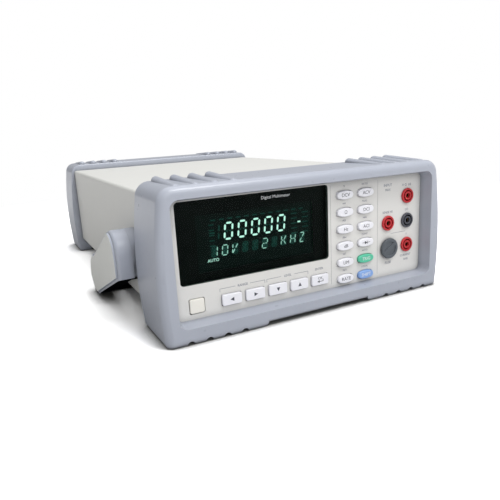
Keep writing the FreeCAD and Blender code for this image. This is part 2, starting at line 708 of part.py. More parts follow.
def cover_outline():
    """Side outline of a cover plate, set a little inside the arm; its top corner is sharp."""
    top = in_side_view(70.2, 61.9)
    brow = in_side_view(56.4, 53.6)
    heel = in_side_view(54.4, 33.4)
    toe = in_side_view(131.2, 4.0)
    tip = in_side_view(158.2, 12.4)
    shoulder = in_side_view(135.9, 32.4)
    return Part.Wire([
        Part.Arc(top, in_side_view(61.6, 59.6), brow).toShape(),
        Part.Arc(brow, in_side_view(54.0, 43.6), heel).toShape(),
        Part.makeLine(heel, toe),
        Part.Arc(toe, in_side_view(149.8, 3.2), tip).toShape(),
        Part.Arc(tip, in_side_view(153.2, 24.8), shoulder).toShape(),
        Part.makeLine(shoulder, top)])


def crossbar(half_length, inset=0.0):
    """The handle's crossbar: its rounded section, drawn in by an inset, over a length."""
    corners = [in_side_view(y, z) for y, z in CROSSBAR]
    bar = slab(Part.makePolygon(corners + corners[:1]), (-half_length, half_length))
    bar = bar.makeFillet(CROSSBAR_ROUND, edges_along(bar, "x"))
    if not inset:
        return bar
    end = [face for face in bar.Faces if face.BoundBox.XMax < -half_length + 0.01][0]
    return end.makeOffset2D(-inset).extrude(V(2 * half_length, 0, 0))


def pivot_hole():
    return rod("x", (PIVOT_Y, PIVOT_Z), PIVOT_R + RUNNING_GAP, (HUB_INNER - 1, ARM_OUTER + 1))


def arm_right():
    blank = slab(arm_outline(), (ARM_INNER, ARM_OUTER))
    rim = [edge for edge in blank.Edges if edge.BoundBox.XMin > ARM_OUTER - 0.01]
    blank = blank.makeFillet(ARM_EDGE_ROUND, [edge for edge in rim if edge.BoundBox.YMax < PIVOT_Y + 1])
    hub = rod("x", (PIVOT_Y, PIVOT_Z), HUB_R, (HUB_INNER, ARM_INNER))
    recess = rod("x", (PIVOT_Y, PIVOT_Z), 8.5, (120.9, ARM_OUTER + 1))
    solid = blank.fuse(hub).cut([pivot_hole(), recess, crossbar(ARM_OUTER + 1)])
    return max(solid.Solids, key=lambda piece: piece.Volume)


def arm_left():
    return mirror_x(arm_right())


def cover_right():
    outer = slab(cover_outline(), (ARM_OUTER, COVER_OUTER))
    face_edges = [edge for edge in outer.Edges if edge.BoundBox.XMin > COVER_OUTER - 0.01]
    return outer.makeFillet(0.9, face_edges)


def cover_left():
    return mirror_x(cover_right())


def handle_bail():
    """The black crossbar, drawn in along the middle where the grip sits flush."""
    seat = crossbar(GRIP_HALF).cut(crossbar(GRIP_HALF, GRIP_WALL))
    return crossbar(ARM_OUTER).cut(seat)


def handle_grip():
    """A rubber sleeve round the crossbar, with shallow grooves round it."""
    sleeve = crossbar(GRIP_HALF).cut(crossbar(GRIP_HALF, GRIP_WALL))
    ring = crossbar(GRIP_GROOVE_PITCH / 6).cut(crossbar(GRIP_GROOVE_PITCH / 6, GRIP_GROOVE))
    last = int(GRIP_HALF / GRIP_GROOVE_PITCH) - 1
    rings = [ring.translated(V(i * GRIP_GROOVE_PITCH, 0, 0)) for i in range(-last, last + 1)]
    return sleeve.cut(rings)


PIVOT_END = 121.0


def handle_pivots():
    """Flanged steel pins through the case sides; the arms turn on them."""
    centre = (PIVOT_Y, PIVOT_Z)
    flange = rod("x", centre, 9.0, (105.0, SLEEVE_X - STEEL))
    pin = rod("x", centre, PIVOT_R, (105.0, PIVOT_END))
    thread = rod("x", centre, 1.65, (112.0, PIVOT_END + 1))
    return both_sides(flange.fuse(pin).cut(thread))


def pivot_screws():
    """A wide-headed screw in the end of each pin keeps the arm on it."""
    centre = (PIVOT_Y, PIVOT_Z)
    head = rod("x", centre, 7.2, (PIVOT_END, PIVOT_END + 2))
    shank = rod("x", centre, 1.65, (112.0, PIVOT_END))
    slot = box((PIVOT_END + 1, PIVOT_END + 3), (PIVOT_Y - 8, PIVOT_Y + 8), (PIVOT_Z - 0.6, PIVOT_Z + 0.6))
    return both_sides(head.fuse(shank).cut(slot))


# Boards and parts inside


def main_board():
    span = (MAIN_BOARD_Z, MAIN_BOARD_Z + BOARD_THICKNESS)
    board = box(MAIN_BOARD_X, MAIN_BOARD_Y, span)
    holes = [rod("z", place, SCREW_HOLE_R, (span[0] - 1, span[1] + 1)) for place in STANDOFFS]
    return board.cut(holes)


def on_main_board(height):
    """The height limits of something that stands on the main board."""
    base = MAIN_BOARD_Z + BOARD_THICKNESS
    return (base, base + height)


def input_shield():
    """A folded tinplate can over the measuring input, open below."""
    outer = rounded_box((25, 88), (80, 140), on_main_board(24), 2.0, "z")
    inner = rounded_box((25.5, 87.5), (80.5, 139.5), on_main_board(23.5), 1.5, "z")
    vents = [rod("z", (35 + 9 * i, 92 + 9 * j), 1.6, on_main_board(30)) for i in range(6) for j in range(5)]
    return outer.cut([inner] + vents)


def range_relays():
    z = on_main_board(11)
    return Part.makeCompound([rounded_box((x, x + 11), (86, 106), z, 0.8, "z") for x in (-40, -26, -12, 2)])


def filter_capacitors():
    cans = []
    for x, y, radius, height in ((-44, 205, 9, 30), (-22, 205, 9, 30), (0, 208, 6.5, 22), (16, 208, 6.5, 22)):
        can = rod("z", (x, y), radius, on_main_board(height))
        top_edges = [edge for edge in can.Edges if edge.BoundBox.ZMin > MAIN_BOARD_Z + height]
        cans.append(can.makeFillet(1.0, top_edges))
    return Part.makeCompound(cans)


def heat_sink():
    """An extruded aluminium finned sink, fixed to the tray."""
    z = (TRAY_Z + STEEL, 58)
    front = REAR_PANEL_Y - 45
    back = front + 4
    plate = box((56, 100), (front, back), z)
    fins = [box((56 + 6 * i, 57.6 + 6 * i), (back, back + 18), z) for i in range(8)]
    device_y = (front - 4.5, front)
    devices = [rounded_box((62 + 14 * i, 72 + 14 * i), device_y, (36, 52), 0.8) for i in range(3)]
    return plate.fuse(fins + devices)


def display_ribbon():
    """The flat cable from the display board down to the main board, with its two plugs."""
    board_back = BOARD_FRONT + BOARD_THICKNESS
    board_top = MAIN_BOARD_Z + BOARD_THICKNESS
    top_plug = box((-30, 10), (board_back, board_back + 7), (38, 44))
    low_plug = box((-30, 10), (64, 70), (board_top, board_top + 8))
    slack = prism_x(
        [(30, 40.6), (44, 40.6), (66, 33.5), (66, 26), (67, 26), (67, 34.4), (44.4, 41.6), (30, 41.6)],
        (-27, 7))
    return slack.fuse([top_plug, low_plug])


TRANSFORMER_X = (-58.0, 2.0)
TRANSFORMER_Y = (REAR_PANEL_Y - 65, REAR_PANEL_Y - 35)
CORE_LEG = 10.0


def core_leg(grow):
    x = (TRANSFORMER_X[0] + 2 * CORE_LEG - grow, TRANSFORMER_X[1] - 2 * CORE_LEG + grow)
    return box(x, (TRANSFORMER_Y[0] - grow, TRANSFORMER_Y[1] + grow), (0, 80))


def transformer_core():
    """A stack of E and I laminations with two windows for the winding, on two mounting feet."""
    floor = TRAY_Z + STEEL
    block = box(TRANSFORMER_X, TRANSFORMER_Y, (floor, floor + 50))
    window_z = (floor + CORE_LEG, floor + 40)
    through = (TRANSFORMER_Y[0] - 1, TRANSFORMER_Y[1] + 1)
    windows = [
        box((TRANSFORMER_X[0] + CORE_LEG, TRANSFORMER_X[0] + 2 * CORE_LEG), through, window_z),
        box((TRANSFORMER_X[1] - 2 * CORE_LEG, TRANSFORMER_X[1] - CORE_LEG), through, window_z)]
    foot = box((TRANSFORMER_X[0] - 10, TRANSFORMER_X[0]), TRANSFORMER_Y, (floor, floor + 2))
    far_foot = box((TRANSFORMER_X[1], TRANSFORMER_X[1] + 10), TRANSFORMER_Y, (floor, floor + 2))
    return block.cut(windows).fuse([foot, far_foot])


def transformer_winding():
    floor = TRAY_Z + STEEL
    x = (TRANSFORMER_X[0] + CORE_LEG + 0.2, TRANSFORMER_X[1] - CORE_LEG - 0.2)
    y = (TRANSFORMER_Y[0] - 9, TRANSFORMER_Y[1] + 9)
    coil = rounded_box(x, y, (floor + CORE_LEG + 0.2, floor + 39.8), 3.0, "z")
    return coil.cut(core_leg(0.1))


# Rear


def rear_panel():
    y = (REAR_PANEL_Y - REAR_PANEL_THICKNESS, REAR_PANEL_Y)
    through = (y[0] - 1, y[1] + 1)
    plate = rounded_box(
        (-PANEL_SEAT_X + FIT_GAP, PANEL_SEAT_X - FIT_GAP), y,
        (PANEL_SEAT_Z[0] + FIT_GAP, PANEL_SEAT_Z[1] - FIT_GAP), PANEL_SEAT_CORNER - FIT_GAP)
    cuts = [box((INLET_X - INLET_HALF_X - 0.1, INLET_X + INLET_HALF_X + 0.1), through,
                (INLET_Z[0] - 0.1, INLET_Z[1] + 0.1))]
    cuts.append(box((SERIAL_X - 9.5, SERIAL_X + 9.5), through, (SERIAL_Z - 5, SERIAL_Z + 5)))
    cuts += [rod("y", place, BNC_R + 0.1, through) for place in BNC_PLACES]
    cuts += [rod("y", place, SCREW_HOLE_R, through) for place in rear_screw_places()]
    for i in range(9):
        x = -48.0 + 6.0 * i
        cuts.append(rounded_box((x - 1.4, x + 1.4), through, (22.0, 40.0), 1.3))
    return plate.cut(cuts)


INLET_FLANGE = 2.0
DRAWER_FRONT = INLET_FRONT + 3.2


def mains_inlet():
    """An appliance inlet: a plug recess with three blades above a drawer for the mains fuse."""
    back = REAR_PANEL_Y + INLET_FLANGE
    body = box((INLET_X - INLET_HALF_X, INLET_X + INLET_HALF_X), (INLET_FRONT, REAR_PANEL_Y), INLET_Z)
    flange = rounded_box(
        (INLET_X - 17, INLET_X + 17), (REAR_PANEL_Y, back), (INLET_Z[0] - 3, INLET_Z[1] + 3), 3.0)
    recess = rounded_box((INLET_X - 12, INLET_X + 12), (INLET_FRONT + 6, back + 1), (48, 64), 3.0)
    drawer_hole = box(
        (INLET_X - DRAWER_HALF_X - RUNNING_GAP, INLET_X + DRAWER_HALF_X + RUNNING_GAP),
        (DRAWER_FRONT - FIT_GAP, back + 1),
        (DRAWER_Z[0] - RUNNING_GAP, DRAWER_Z[1] + RUNNING_GAP))
    blade_y = (INLET_FRONT + 5, REAR_PANEL_Y - 1)
    blades = [box((INLET_X + x - 1, INLET_X + x + 1), blade_y, (z - 2, z + 2))
              for x, z in ((-7, 54), (7, 54), (0, 58.5))]
    tag_y = (INLET_FRONT - 7, INLET_FRONT + 1)
    tags = [box((INLET_X + x - 2.4, INLET_X + x + 2.4), tag_y, (z - 0.4, z + 0.4))
            for x, z in ((-7, 54), (7, 54), (0, 60))]
    return body.fuse(flange).cut([recess, drawer_hole]).fuse(blades + tags)


FUSE_ROW_Y = INLET_FRONT + 11.0
FUSE_ROW_Z = 32.0


def mains_fuse_drawer():
    """A drawer with a trough for the fuse and a finger lip."""
    back = REAR_PANEL_Y + INLET_FLANGE
    x = (INLET_X - DRAWER_HALF_X, INLET_X + DRAWER_HALF_X)
    tray = box(x, (DRAWER_FRONT, back), DRAWER_Z)
    lip = rounded_box(
        (x[0] - 0.6, x[1] + 0.6), (back, back + 1.4), (DRAWER_Z[0] - 0.6, DRAWER_Z[1] + 0.6), 1.0)
    pull = box((INLET_X - 6, INLET_X + 6), (back + 0.5, back + 2.6), (DRAWER_Z[1] - 2.4, DRAWER_Z[1] - 0.8))
    span = (INLET_X - FUSE_LENGTH / 2, INLET_X + FUSE_LENGTH / 2)
    trough = rod("x", (FUSE_ROW_Y, FUSE_ROW_Z), FUSE_R, span)
    mouth = box(span, (FUSE_ROW_Y - FUSE_R, FUSE_ROW_Y + FUSE_R), (FUSE_ROW_Z, DRAWER_Z[1] + 1))
    return tray.fuse([lip, pull]).cut([trough, mouth])


def mains_fuse():
    span = (INLET_X - FUSE_LENGTH / 2, INLET_X + FUSE_LENGTH / 2)
    place = (FUSE_ROW_Y, FUSE_ROW_Z)
    caps = [rod("x", place, FUSE_R, (span[0], span[0] + 5)), rod("x", place, FUSE_R, (span[1] - 5, span[1]))]
    return rod("x", place, FUSE_R - 0.2, span).fuse(caps)


def serial_connector():
    """A nine-pin D connector with its plate, shell and jack posts."""
    def d_shape(half_top, half_bottom, half_height, span):
        corners = [
            V(SERIAL_X - half_top, span[0], SERIAL_Z + half_height),
            V(SERIAL_X + half_top, span[0], SERIAL_Z + half_height),
            V(SERIAL_X + half_bottom, span[0], SERIAL_Z - half_height),
            V(SERIAL_X - half_bottom, span[0], SERIAL_Z - half_height)]
        face = Part.Face(Part.makePolygon(corners + corners[:1]))
        solid = face.extrude(V(0, span[1] - span[0], 0))
        return solid.makeFillet(1.5, edges_along(solid, "y"))

    plate = rounded_box(
        (SERIAL_X - 15.5, SERIAL_X + 15.5), (REAR_PANEL_Y, REAR_PANEL_Y + 0.8),
        (SERIAL_Z - 6.2, SERIAL_Z + 6.2), 1.0)
    body = d_shape(9.2, 8.0, 4.8, (REAR_PANEL_Y - 11, REAR_PANEL_Y + 0.4))
    shell = d_shape(8.6, 7.4, 4.2, (REAR_PANEL_Y, REAR_PANEL_Y + 6))
    cavity = d_shape(8.0, 6.9, 3.7, (REAR_PANEL_Y + 0.9, REAR_PANEL_Y + 7))
    pin_y = (REAR_PANEL_Y, REAR_PANEL_Y + 5.6)
    pins = [rod("y", (SERIAL_X - 5.5 + 2.75 * i, SERIAL_Z + 1.4), 0.5, pin_y) for i in range(5)]
    pins += [rod("y", (SERIAL_X - 4.1 + 2.75 * i, SERIAL_Z - 1.4), 0.5, pin_y) for i in range(4)]
    post_y = (REAR_PANEL_Y + 0.4, REAR_PANEL_Y + 5)
    posts = [rod("y", (SERIAL_X + side * 12.5, SERIAL_Z), 2.3, post_y) for side in (-1, 1)]
    return plate.fuse([body, shell] + posts).cut(cavity).fuse(pins)


def bnc(x, z):
    """A bayonet coaxial socket with two lugs."""
    end = REAR_PANEL_Y + 9.0
    outer = tube("y", (x, z), BNC_R, 4.1, (REAR_PANEL_Y - 7, end))
    floor = rod("y", (x, z), BNC_R, (REAR_PANEL_Y - 10, REAR_PANEL_Y - 5))
    nut = rod("y", (x, z), 6.6, (REAR_PANEL_Y, REAR_PANEL_Y + 1.6))
    nut = nut.cut(rod("y", (x, z), BNC_R - 0.2, (REAR_PANEL_Y - 1, REAR_PANEL_Y + 3)))
    insulator = tube("y", (x, z), 2.4, 0.7, (REAR_PANEL_Y - 6, end - 1.5))
    lugs = [rod("x", (end - 4, z), 0.95, span) for span in ((x - 5.7, x - 4.2), (x + 4.2, x + 5.7))]
    return outer.fuse([floor, nut, insulator] + lugs)


def trigger_connectors():
    return Part.makeCompound([bnc(x, z) for x, z in BNC_PLACES])


PIECES = [
    case_sleeve, front_bumper, rear_bumper, front_panel, display_window, vfd_display, display_board,
    keypad_mat, chassis_tray, main_board, transformer_core, transformer_winding, input_shield,
    range_relays, filter_capacitors, heat_sink, display_ribbon, jack_wires, red_jack_shells,
    black_jack_shell, jack_contacts, fuse_holder, rear_panel, mains_inlet, serial_connector,
    trigger_connectors, mains_switch, chassis_screws, handle_pivots, pivot_screws, handle_bail,
    handle_grip, arm_left, arm_right, cover_left, cover_right, power_button, power_push_rod,
    fuse_carrier, current_fuse, fuse_knob, mains_fuse_drawer, mains_fuse]


def export(name, shape):
    """Move a piece to the object's frame and write it as STEP."""
    placed = shape.translated(V(0, -DEPTH / 2, FOOT_DROP))
    placed.exportStep("parts/" + name + ".step")
    bad = [s for s in placed.Solids if not s.isValid()]
    print(name, len(placed.Solids), "solids", "INVALID" if bad or not placed.Solids else "ok")


os.makedirs("parts", exist_ok=True)
for piece in PIECES:
    export(piece.__name__, piece())
for name, (x, z) in oval_key_places().items():
    export(name, oval_key(x, z))
for name, (x, z) in nav_key_places().items():
    export(name, nav_key(x, z))
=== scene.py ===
import json
import math

import bmesh
import bpy
from mathutils import Matrix, Vector


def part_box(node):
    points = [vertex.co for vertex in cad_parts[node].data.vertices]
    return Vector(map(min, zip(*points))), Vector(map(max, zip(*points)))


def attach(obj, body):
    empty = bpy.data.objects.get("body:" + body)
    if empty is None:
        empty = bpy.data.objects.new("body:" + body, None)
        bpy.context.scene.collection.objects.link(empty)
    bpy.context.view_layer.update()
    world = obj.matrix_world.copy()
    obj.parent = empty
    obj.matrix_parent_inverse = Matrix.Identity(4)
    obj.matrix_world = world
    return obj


MM = 0.001
PRINT_THICKNESS = 0.04 * MM
DISPLAY_GAMMA = 2.2

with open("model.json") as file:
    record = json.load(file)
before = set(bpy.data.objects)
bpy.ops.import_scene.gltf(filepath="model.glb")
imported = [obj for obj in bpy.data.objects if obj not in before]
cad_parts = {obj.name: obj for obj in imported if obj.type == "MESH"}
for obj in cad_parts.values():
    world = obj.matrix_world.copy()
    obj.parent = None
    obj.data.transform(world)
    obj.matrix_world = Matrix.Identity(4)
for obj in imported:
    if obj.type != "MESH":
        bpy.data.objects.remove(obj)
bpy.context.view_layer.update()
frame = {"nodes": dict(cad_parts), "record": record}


# Colours


def srgb(red, green, blue):
    """A linear colour from three display values of 0 to 255."""
    return tuple((value / 255) ** DISPLAY_GAMMA for value in (red, green, blue)) + (1.0,)


def scaled(colour, factor):
    """A colour made lighter or darker, never above white."""
    return tuple(min(1.0, channel * factor) for channel in colour[:3]) + (1.0,)


# Materials. Sizes in their calls are in millimetres.

# The way the flat lower edge of a parked handle arm faces
ARM_UNDERSIDE = (0, -0.35, -0.94)
CREVICE_REACH = 5.0
# Blender's wave texture has this many radians to a unit at scale 1
WAVE_RADIANS = 20


class Graph:
    """A material's nodes, with short calls to add and join them."""

    def __init__(self, name):
        self.material = bpy.data.materials.new(name)
        self.material.use_nodes = True
        self.nodes = self.material.node_tree.nodes
        self.links = self.material.node_tree.links
        self.shader = self.nodes["Principled BSDF"]
        self.output = self.nodes["Material Output"]
        self.place = self.nodes.new("ShaderNodeTexCoord").outputs["Object"]

    def add(self, kind, inputs=None, **settings):
        node = self.nodes.new("ShaderNode" + kind)
        for key, value in settings.items():
            setattr(node, key, value)
        for key, value in (inputs or {}).items():
            self.put(node, key, value)
        return node

    def put(self, node, key, value):
        if isinstance(value, bpy.types.NodeSocket):
            self.links.new(value, node.inputs[key])
        else:
            node.inputs[key].default_value = value

    def noise(self, size_mm, detail=2.0, stretch=(1.0, 1.0, 1.0)):
        """A cloudy pattern of 0 to 1 whose patches are about size_mm across."""
        spot = self.place
        if stretch != (1.0, 1.0, 1.0):
            spot = self.add("Mapping", {"Vector": self.place, "Scale": stretch}).outputs["Vector"]
        texture = self.add("TexNoise", {"Vector": spot, "Scale": 1 / (size_mm * MM), "Detail": detail})
        return texture.outputs["Fac"]

    def stripes(self, pitch_mm, direction):
        """Smooth stripes of 0 to 1 across one axis."""
        inputs = {"Vector": self.place, "Scale": 2 * math.pi / WAVE_RADIANS / (pitch_mm * MM)}
        wave = self.add("TexWave", inputs, wave_type="BANDS", bands_direction=direction)
        return wave.outputs["Fac"]

    def ramp(self, value, low, high):
        """A value from 0 to 1 moved to run from low to high."""
        inputs = {"Value": value, "To Min": low, "To Max": high}
        return self.add("MapRange", inputs).outputs["Result"]

    def mix(self, factor, first, second):
        """Two colours blended. Sockets 6, 7 and 2 are the ones for colour."""
        node = self.add("Mix", {"Factor": factor}, data_type="RGBA")
        self.put(node, 6, first)
        self.put(node, 7, second)
        return node.outputs[2]

    def edge_mask(self, radius_mm):
        """Close to 1 on hard outer edges and 0 on open surfaces."""
        soft = self.add("Bevel", {"Radius": radius_mm * MM}, samples=4).outputs["Normal"]
        flat = self.add("NewGeometry").outputs["Normal"]
        match = self.add("VectorMath", {0: soft, 1: flat}, operation="DOT_PRODUCT").outputs["Value"]
        inputs = {"Value": match, "From Min": 0.995, "From Max": 0.8, "To Min": 0.0, "To Max": 1.0}
        return self.add("MapRange", inputs).outputs["Result"]

    def crevices(self, reach_mm):
        """0 deep in corners and grooves and 1 on open surfaces."""
        inputs = {"Distance": reach_mm * MM}
        open_share = self.add("AmbientOcclusion", inputs, samples=6).outputs["AO"]
        inputs = {"Value": open_share, "From Min": 0.35, "From Max": 0.95}
        return self.add("MapRange", inputs).outputs["Result"]

    def facing(self, direction, low, high, both_ways=False):
        """1 where the object's own surface faces a direction, 0 where it does not."""
        normal = self.nodes["Texture Coordinate"].outputs["Normal"]
        if both_ways:
            normal = self.add("VectorMath", {0: normal}, operation="ABSOLUTE").outputs["Vector"]
        product = self.add("VectorMath", {0: normal, 1: direction}, operation="DOT_PRODUCT")
        inputs = {"Value": product.outputs["Value"], "From Min": low, "From Max": high}
        return self.add("MapRange", inputs).outputs["Result"]

    def relief(self, height, depth_mm, edge_mm=0.25):
        """The normal of a surface with relief and slightly softened edges."""
        soft = self.add("Bevel", {"Radius": edge_mm * MM}, samples=4).outputs["Normal"]
        inputs = {"Height": height, "Distance": depth_mm * MM, "Strength": 1.0, "Normal": soft}
        return self.add("Bump", inputs).outputs["Normal"]

    def bump(self, height, depth_mm):
        self.put(self.shader, "Normal", self.relief(height, depth_mm))


def moulded(
        name, colour, roughness, grain=0.35, depth=0.012, mottle=0.05, wear=0.25, shine=0.5, painted_crevice_shade=0.0,
        underside=None, rim=None):
    """Moulded plastic, rubber or paint: fine grain, faint clouding, worn edges and painted shade in
    corners and grooves.
    """
    graph = Graph(name)
    clouds = graph.ramp(graph.noise(18.0, 4.0), 0.3, 0.7)
    body = graph.mix(clouds, scaled(colour, 1 - mottle), scaled(colour, 1 + mottle))
    if rim:
        body = graph.mix(graph.facing((1, 0, 0), 0.5, 0.9, both_ways=True), rim, body)
    # Near black and without shine where the surface faces like a parked arm's lower edge: partly a black
    # strip, partly painted shade
    if underside:
        below = graph.facing(ARM_UNDERSIDE, 0.9, 0.96)
        body = graph.mix(below, body, underside)
        shine = graph.ramp(below, shine, 0.0)
    patches = graph.ramp(graph.noise(2.2, 3.0), 0.0, 1.0)
    rub = graph.add("Math", {0: graph.edge_mask(0.5), 1: patches}, operation="MULTIPLY").outputs[0]
    rub = graph.add("Math", {0: rub, 1: wear}, operation="MULTIPLY").outputs[0]
    pale = scaled(tuple(channel * 0.6 + 0.25 for channel in colour[:3]), 1.0)
    surface = graph.mix(rub, body, pale)
    # Painted shade: darker in corners, grooves and notches where occlusion is found, by the given share
    if painted_crevice_shade:
        shaded = graph.mix(painted_crevice_shade, surface, scaled(colour, 0.15))
        surface = graph.mix(graph.crevices(CREVICE_REACH), shaded, surface)
    graph.put(graph.shader, "Base Color", surface)
    sheen = graph.noise(5.0, 3.0)
    graph.put(graph.shader, "Roughness", graph.ramp(sheen, roughness - 0.06, roughness + 0.06))
    graph.put(graph.shader, "Specular IOR Level", shine)
    graph.bump(graph.noise(grain, 2.0), depth)
    return graph.material


def metal(name, colour, roughness, stretch=(1.0, 1.0, 1.0), depth=0.006):
    """Bare or plated metal with fine streaks and slightly uneven polish."""
    graph = Graph(name)
    streaks = graph.noise(0.8, 3.0, stretch)
    graph.put(graph.shader, "Base Color", graph.mix(streaks, scaled(colour, 0.86), scaled(colour, 1.1)))
    graph.put(graph.shader, "Metallic", 1.0)
    polish = graph.noise(3.0, 3.0, stretch)
    graph.put(graph.shader, "Roughness", graph.ramp(polish, roughness - 0.07, roughness + 0.07))
    graph.bump(streaks, depth)
    return graph.material


def striped(name, first, second, pitch, direction, roughness, metallic=0.0, depth=0.05):
    """A surface with fine parallel bands, such as laminations, wound tape or flat cable."""
    graph = Graph(name)
    bands = graph.stripes(pitch, direction)
    colour = graph.mix(bands, first, second)
    clouds = graph.noise(7.0, 3.0)
    dusty = graph.mix(graph.ramp(clouds, 0.0, 0.25), colour, scaled(first, 0.6))
    graph.put(graph.shader, "Base Color", dusty)
    graph.put(graph.shader, "Metallic", metallic)
    graph.put(graph.shader, "Roughness", graph.ramp(clouds, roughness - 0.05, roughness + 0.05))
    graph.bump(bands, depth)
    return graph.material


def circuit_board(name):
    """Green solder mask over a maze of copper tracks."""
    graph = Graph(name)
    inputs = {"Vector": graph.place, "Scale": 1 / (2.6 * MM)}
    cells = graph.add("TexVoronoi", inputs, distance="CHEBYCHEV", feature="F1")
    inputs = {0: cells.outputs["Distance"], 1: 0.42}
    tracks = graph.add("Math", inputs, operation="GREATER_THAN").outputs[0]
    graph.put(graph.shader, "Base Color", graph.mix(tracks, srgb(20, 92, 52), srgb(44, 132, 78)))
    graph.put(graph.shader, "Roughness", graph.ramp(graph.noise(4.0), 0.25, 0.4))
    graph.bump(tracks, 0.03)
    return graph.material


def tinted_window(name):
    """Dark glossy acrylic that lets the lit display through."""
    graph = Graph(name)
    see_through = graph.add("BsdfTransparent", {"Color": (0.55, 0.62, 0.60, 1.0)})
    smears = graph.noise(9.0, 4.0)
    inputs = {"Roughness": graph.ramp(smears, 0.03, 0.09), "Normal": graph.relief(smears, 0.01)}
    gloss = graph.add("BsdfGlossy", inputs)
    facing = graph.add("Fresnel", {"IOR": 1.45})
    dulled = graph.add("Math", {0: facing.outputs["Fac"], 1: 0.09}, operation="MULTIPLY").outputs[0]
    mixed = graph.add("MixShader", {0: dulled})
    graph.links.new(see_through.outputs[0], mixed.inputs[1])
    graph.links.new(gloss.outputs[0], mixed.inputs[2])
    graph.links.new(mixed.outputs[0], graph.output.inputs["Surface"])
    return graph.material


def display_glass(name):
    """The dark face of a fluorescent display, with its fine control grid just visible and a faint painted
    glow.
    """
    graph = Graph(name)
    across = graph.stripes(0.6, "X")
    down = graph.stripes(0.6, "Z")
    grid = graph.add("Math", {0: across, 1: down}, operation="MULTIPLY").outputs[0]
    clouds = graph.noise(22.0, 3.0)
    glass = graph.mix(clouds, srgb(3, 17, 16), srgb(7, 32, 29))
    colour = graph.mix(graph.ramp(grid, 0.0, 0.35), glass, srgb(11, 42, 38))
    graph.put(graph.shader, "Base Color", colour)
    # Painted glow: the dark glass gives off its own colour faintly
    graph.put(graph.shader, "Emission Color", colour)
    graph.put(graph.shader, "Emission Strength", 0.35)
    graph.put(graph.shader, "Roughness", graph.ramp(clouds, 0.25, 0.4))
    graph.bump(grid, 0.01)
    return graph.material


def glow(name, colour, strength):
    """Lit phosphor, a little uneven from place to place; on unlit strokes this glow is painted light."""
    graph = Graph(name)
    patches = graph.noise(1.4, 2.0)
    graph.put(graph.shader, "Base Color", scaled(colour, 0.3))
    graph.put(graph.shader, "Emission Color", graph.mix(patches, scaled(colour, 0.85), colour))
    graph.put(graph.shader, "Emission Strength", strength)
    graph.put(graph.shader, "Roughness", graph.ramp(patches, 0.5, 0.7))
    return graph.material


def clear_glass(name):
    graph = Graph(name)
    tint = graph.mix(graph.noise(3.0), srgb(225, 235, 235), srgb(245, 250, 250))
    graph.put(graph.shader, "Base Color", tint)
    graph.put(graph.shader, "Transmission Weight", 0.85)
    graph.put(graph.shader, "Roughness", graph.ramp(graph.noise(2.0), 0.03, 0.12))
    graph.bump(graph.noise(4.0), 0.005)
    return graph.material


def print_ink(name, colour):
    """Screen-printed ink, slightly broken up."""
    graph = Graph(name)
    breaks = graph.noise(0.5, 3.0)
    graph.put(graph.shader, "Base Color", graph.mix(breaks, scaled(colour, 0.8), scaled(colour, 1.25)))
    graph.put(graph.shader, "Roughness", graph.ramp(graph.noise(2.0), 0.45, 0.65))
    graph.bump(breaks, 0.004)
    return graph.material


ALONG_X = (0.08, 1.0, 1.0)
ALONG_Y = (1.0, 0.08, 1.0)

BUMPER_COLOUR = srgb(173, 178, 190)
